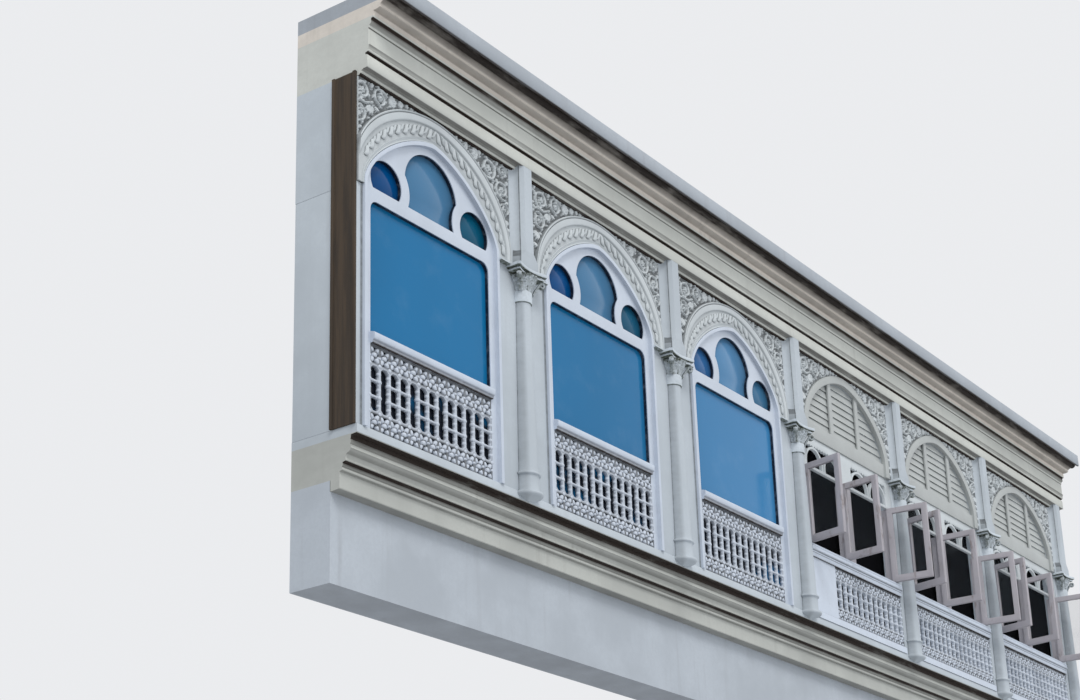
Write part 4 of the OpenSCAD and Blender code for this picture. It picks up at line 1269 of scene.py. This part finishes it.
class SCREEN_OT_lattice(ScreenPart, Operator):
    """Turns the lattice guards and runs their rails"""

    bl_idname = "screen.lattice"
    bl_label = "Lattice guards"

    def build(self):
        bead = bead_mesh("lattice_bead")
        for k in GLAZED + LOUVRED:
            node = f"lattice_{k}"
            (_, _, za), (_, _, zb) = low(node), high(node)
            band = (zb - za) * 0.224
            shapes = Shapes("hollow")
            verts, faces, _ = taken(soft_mesh(node, "flat", 0.75, 1))
            fretted = np.abs(verts[:, 2] - (za + zb) / 2) > (zb - za) / 2 - band + 0.006
            # Painted shade: the fretted bands, with their deep holes, are marked darker
            shapes.add(verts, faces, points=np.where(fretted, 0.8, 0.2))
            shapes.add(*taken(repeated(bead, *self.beads(node, band)), "hollow"))
            shapes.piece(f"turned_lattice_{k}", "lattice", "lattice_white", node, smooth=55, merge=None)
        self.rails()

    def beads(self, node, band):
        """Places, paint, turns and sizes of the beads on one lattice's uprights, bars and fretted bands."""
        (xa, ya, za), (xb, yb, zb) = low(node), high(node)
        count = round((xb - xa) / sizes().lattice_pitch)
        y, tall, p = (ya + yb) / 2, zb - za, (xb - xa) / count
        grid = tall - 2 * band
        points, turns, grows = [], [], []

        def put(px, pz, size, turn=0.0):
            points.append((xa + px, y, za + pz))
            turns.append((0, turn, 0))
            grows.append(size)

        for i in range(count + 1):
            for j in range(-3, 13):
                pz = band + grid * (j + 0.5) / 9
                if 0.015 < pz < tall - 0.015:
                    big = 1.0 if j % 3 == 1 else 0.82
                    put(i * p, pz, (0.0205 * big, 0.023 * big, grid / 18 * 0.98))
            for j in (0, 1, 2, 3):
                put(i * p, band + grid * j / 3, (0.027, 0.027, 0.024))
        for i in range(count):
            middle = (i + 0.5) * p
            for centre, flip in ((band / 2, 1), (tall - band / 2, -1)):
                put(middle, centre, (0.030, 0.028, 0.028))
                for mx, mz in ((-1, -1), (1, -1), (-1, 1), (1, 1)):
                    size = 1.0 if mz * flip > 0 else 0.86
                    put(
                        middle + mx * p * 0.27, centre + mz * band * 0.26,
                        (0.023 * size, 0.025, band * 0.22 * size), math.atan2(mx * p, mz * band),
                    )
            if i % 3 != 1:
                for j in (1, 2):
                    for share in (0.3, 0.7):
                        bar = (0.0145, 0.021, p * 0.18)
                        put((i + share) * p, band + grid * j / 3, bar, math.pi / 2)
        return points, "lattice", turns, grows

    def rails(self):
        """The rails over and under the lattices, with the plain panel of the fourth bay."""
        shapes = Shapes()
        # The marks paint the shadow lines under the rails, with some stains
        guard = outline(
            (0.010, 0.0), (-0.010, 0.0, 1.0), (-0.016, 0.004, 0.9), (-0.018, 0.024, 0.55),
            (-0.030, 0.032, 0.3, -0.4), (-0.034, 0.036, 0.0), (-0.036, 0.080, 0.0),
            (-0.030, 0.086, 0.0, 0.3), (0.010, 0.099, 0.25),
        )
        foot = outline(
            (0.060, 0.0), (-0.020, 0.0, 0.4), (-0.020, 0.066, 0.1), (-0.012, 0.075, 0.3, 0.4),
            (0.060, 0.075, 0.5),
        )
        light = outline(
            (0.060, 0.0), (-0.010, 0.0, 1.0), (-0.014, 0.006, 0.4), (-0.014, 0.042, 0.0),
            (-0.018, 0.046, 0.7), (-0.018, 0.062, 0.0), (-0.033, 0.074, (0.6, 0.3), -0.4),
            (-0.036, 0.079, 0.0), (-0.036, 0.116, 0.0, 0.4), (-0.027, 0.121, 0.6),
            (-0.023, 0.137, 0.0, 0.4), (0.060, 0.137, 0.2),
        )
        panel = outline((0.048, 0.0), (0.006, 0.0, 0.5), (0.006, 0.586, 0.1), (0.048, 0.586, 0.5))
        for k in GLAZED:
            box_low, box_high = low(f"lattice_{k}"), high(f"lattice_{k}")
            run(shapes, guard, box_low[0], box_high[0], box_high[2])
        half = high("lattice_5")[0] - BAYS[4]
        for k, x in zip(LOUVRED, BAYS[3:]):
            run(shapes, foot, x - half, x + half, SILL_Z)
            run(shapes, light, x - half, x + half, high(f"lattice_{k}")[2])
        run(shapes, panel, BAYS[3] - half, low("lattice_4")[0], low("lattice_4")[2])
        shapes.piece("lattice_rail_run", "rail", "casing_white", "lattice_rails", smooth=50)


class SCREEN_OT_louvres(ScreenPart, Operator):
    """Finishes the louvred heads, their slats and the fretted panels below them"""

    bl_idname = "screen.louvres"
    bl_label = "Louvred heads"

    def build(self):
        for k in LOUVRED:
            softened(f"lunette_{k}", f"lunette_frame_{k}", "louvre", "louvre_paint", 1.25, 3)
        self.slats()
        softened("frets", "fret_panels", "carving", "carved_white", 0.75)

    def slats(self, pitch=0.084, rim=0.086):
        """Steep overlapping slats inside the rims."""
        shapes = Shapes("hollow")
        tall = pitch * 1.04
        for x in BAYS[3:]:
            z = HEAD_Z - 0.015
            while z < HEAD_Z + HEAD_RISE - rim:
                ends = []
                for height in (z, z + tall):
                    share = min(max(height - HEAD_Z, 0.0) / (HEAD_RISE - rim), 1.0)
                    ends.append((HEAD_HALF - rim) * (1 - share ** HEAD_ROUND) ** (1 / HEAD_ROUND) + 0.002)
                line = ((0.020, 0), (0.024, 0), (0.042, 1), (0.034, 1))
                verts, faces = loft([
                    [(x + side * ends[top], FACE_Y + depth, z + tall * top) for depth, top in line]
                    for side in (-1, 1)
                ])
                marks = [0.9 if abs(v[2] - z) < 1e-6 or v[2] > z + pitch else 0.0 for v in verts]
                shapes.add(verts, faces, points=marks)
                z += pitch
        shapes.piece("louvre_slat_set", "louvre", "louvre_paint", "louvre_slats", smooth=30, merge=None)


class SCREEN_OT_casements(ScreenPart, Operator):
    """Finishes the window posts, the opened leaves and their glass"""

    bl_idname = "screen.casements"
    bl_label = "Casements"

    def build(self):
        softened("window_frames", "window_posts", "sash", "sash_wood", 1.25)
        softened("sashes", "casement_leaves", "sash", "sash_wood")
        keep("sash_glass", "clear")


class SCREEN_OT_glass(ScreenPart, Operator):
    """Tints the fixed panes of the glazed bays and sets them near the casings' face"""

    bl_idname = "screen.glass"
    bl_label = "Tinted glass"

    def build(self):
        for node, finish, slot in (
            ("main_glass", "blue", "blue_glass"), ("lobe_glass", "lobe", "blue_glass"),
            ("blue_rounds", "royal", "royal_glass"), ("green_rounds", "green", "green_glass"),
        ):
            mesh = soft_mesh(node, f"{node}_panes", 0.25, 1)
            mesh.transform(Matrix.Translation((0, sizes().reveal - CASING_THICK, 0)))
            settle(mesh.name, mesh, finish, slot, node)


class SCREEN_OT_return(ScreenPart, Operator):
    """Boards the left return"""

    bl_idname = "screen.left_return"
    bl_label = "Left return"

    def build(self):
        softened("left_return", "left_return_boards", "boards", "brown_wood", 0.75)


class SCREEN_OT_stage(ScreenPart, Operator):
    """Sets the floor, the dark cards of painted shade for the room, the pale background, the lamps and the
    camera
    """

    bl_idname = "screen.stage"
    bl_label = "Stage"

    def build(self):
        bpy.context.scene.view_settings.view_transform = "Standard"
        reach, drop = 40, -0.002
        spots = [(-reach, -reach, drop), (reach, -reach, drop), (reach, reach, drop), (-reach, reach, drop)]
        self.card("pale_floor", spots, [(0, 1, 2, 3)], 2, 1, (0.8, 0.8, 0.8))
        self.card("dark_room", *self.room_cards(), 1, -1, (0.006, 0.006, 0.007))
        self.world()
        self.lamps()
        self.camera()

    def card(self, name, verts, faces, axis, way, colour):
        """Flat faces that look one way along an axis."""
        mesh = mesh_of(name, verts, faces)
        for polygon in mesh.polygons:
            if polygon.normal[axis] * way < 0:
                polygon.flip()
        mesh.materials.append(self.one_sided(name, colour))
        new_object(name, mesh)

    def room_cards(self):
        """Dark cards just behind the open louvred bays, painted shade for the unlit room; they show from the
        street only.
        """
        half, y, top = PITCH / 2 - BLOCK_HALF, FACE_Y + 0.17, ABACUS_Z + 0.9
        verts = [
            (x + side * half, y, z)
            for x in BAYS[3:] for side, z in ((-1, SILL_Z), (1, SILL_Z), (1, top), (-1, top))
        ]
        return verts, [tuple(range(i, i + 4)) for i in range(0, len(verts), 4)]

    def one_sided(self, name, colour):
        """A face that shows on its front and is see-through from its back and for soft light."""
        f = Finish(name)
        back = f.node("ShaderNodeNewGeometry", {}, out="Backfacing")
        soft = self.ray(f, "Diffuse") + self.ray(f, "Shadow")
        gone = f.node("ShaderNodeMath", {"operation": "MAXIMUM"}, back, soft)
        matt = f.node("ShaderNodeBsdfDiffuse", {}, Color=colour)
        clear = f.node("ShaderNodeBsdfTransparent", {})
        return f.finished(f.node("ShaderNodeMixShader", {}, gone, matt, clear))

    def ray(self, finish, kind):
        return finish.node("ShaderNodeLightPath", {}, out=f"Is {kind} Ray")

    def world(self):
        """A pale background, and a softer light of its own for the object."""
        f = Finish("studio", "worlds")
        seen = f.node(
            "ShaderNodeMath", {"operation": "MAXIMUM"}, self.ray(f, "Camera"), self.ray(f, "Transmission"),
        )
        pale = f.node("ShaderNodeBackground", {}, Color=(0.83, 0.84, 0.86))
        soft = f.node("ShaderNodeBackground", {}, Color=(0.93, 0.96, 1.0), Strength=0.7)
        either = f.node("ShaderNodeMixShader", {}, seen, soft, pale)
        bpy.context.scene.world = f.finished(either, "ShaderNodeOutputWorld")

    def lamps(self):
        for name, turn, lift, power, width in (
            ("key_lamp", -38, 48, 1.35, 24), ("fill_lamp", 40, 25, 0.45, 60),
        ):
            lamp = bpy.data.lights.new(name, "SUN")
            lamp.energy = power
            lamp.angle = math.radians(width)
            lamp.color = (1.0, 0.99, 0.97)
            turn, lift = math.radians(turn), math.radians(lift)
            level = math.cos(lift)
            away = Vector((math.sin(turn) * level, -math.cos(turn) * level, math.sin(lift)))
            new_object(name, lamp).rotation_euler = away.to_track_quat("Z", "Y").to_euler()

    def camera(self):
        """The camera on the street, at the left, a little rolled."""
        camera = bpy.data.cameras.new("street_view")
        camera.lens = 66.0
        camera.sensor_width = 36.0
        camera.shift_x = -0.08
        camera.shift_y = 0.12
        camera.clip_end = 200
        yaw, pitch, roll = math.radians(56.71), math.radians(19.85), math.radians(-2.62)
        ahead = Vector((math.sin(yaw) * math.cos(pitch), math.cos(yaw) * math.cos(pitch), math.sin(pitch)))
        right = Vector((math.cos(yaw), -math.sin(yaw), 0))
        up = right.cross(ahead)
        across = right * math.cos(roll) + up * math.sin(roll)
        over = up * math.cos(roll) - right * math.sin(roll)
        obj = new_object("street_view", camera)
        obj.matrix_world = Matrix((
            (across.x, over.x, -ahead.x, -17.590),
            (across.y, over.y, -ahead.y, -9.694),
            (across.z, over.z, -ahead.z, -4.326),
            (0, 0, 0, 1),
        ))
        bpy.context.scene.camera = obj


OPERATORS = (
    SCREEN_OT_wall, SCREEN_OT_sill, SCREEN_OT_cornice, SCREEN_OT_columns, SCREEN_OT_capitals,
    SCREEN_OT_strips, SCREEN_OT_casings, SCREEN_OT_archivolts, SCREEN_OT_spandrels, SCREEN_OT_lattice,
    SCREEN_OT_louvres, SCREEN_OT_casements, SCREEN_OT_glass, SCREEN_OT_return, SCREEN_OT_stage,
)


class SCREEN_PT_parts(Panel):
    bl_idname = "SCREEN_PT_parts"
    bl_label = "Window screen"
    bl_space_type = "VIEW_3D"
    bl_region_type = "UI"
    bl_category = "Screen"

    def draw(self, context):
        for group in (context.scene.screen_sizes, context.scene.screen_colours):
            column = self.layout.column()
            for key in group.__annotations__:
                column.prop(group, key)
        for operator in OPERATORS:
            self.layout.operator(operator.bl_idname)


CLASSES = (ScreenColours, ScreenSizes, *OPERATORS, SCREEN_PT_parts)


def register():
    for c in CLASSES:
        bpy.utils.register_class(c)
    bpy.types.Scene.screen_colours = PointerProperty(type=ScreenColours)
    bpy.types.Scene.screen_sizes = PointerProperty(type=ScreenSizes)


def unregister():
    del bpy.types.Scene.screen_sizes
    del bpy.types.Scene.screen_colours
    for c in reversed(CLASSES):
        bpy.utils.unregister_class(c)


def main():
    register()
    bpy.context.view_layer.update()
    make_finishes()
    for operator in OPERATORS:
        group, name = operator.bl_idname.split(".")
        getattr(getattr(bpy.ops, group), name)()


if __name__ == "__main__":
    main()
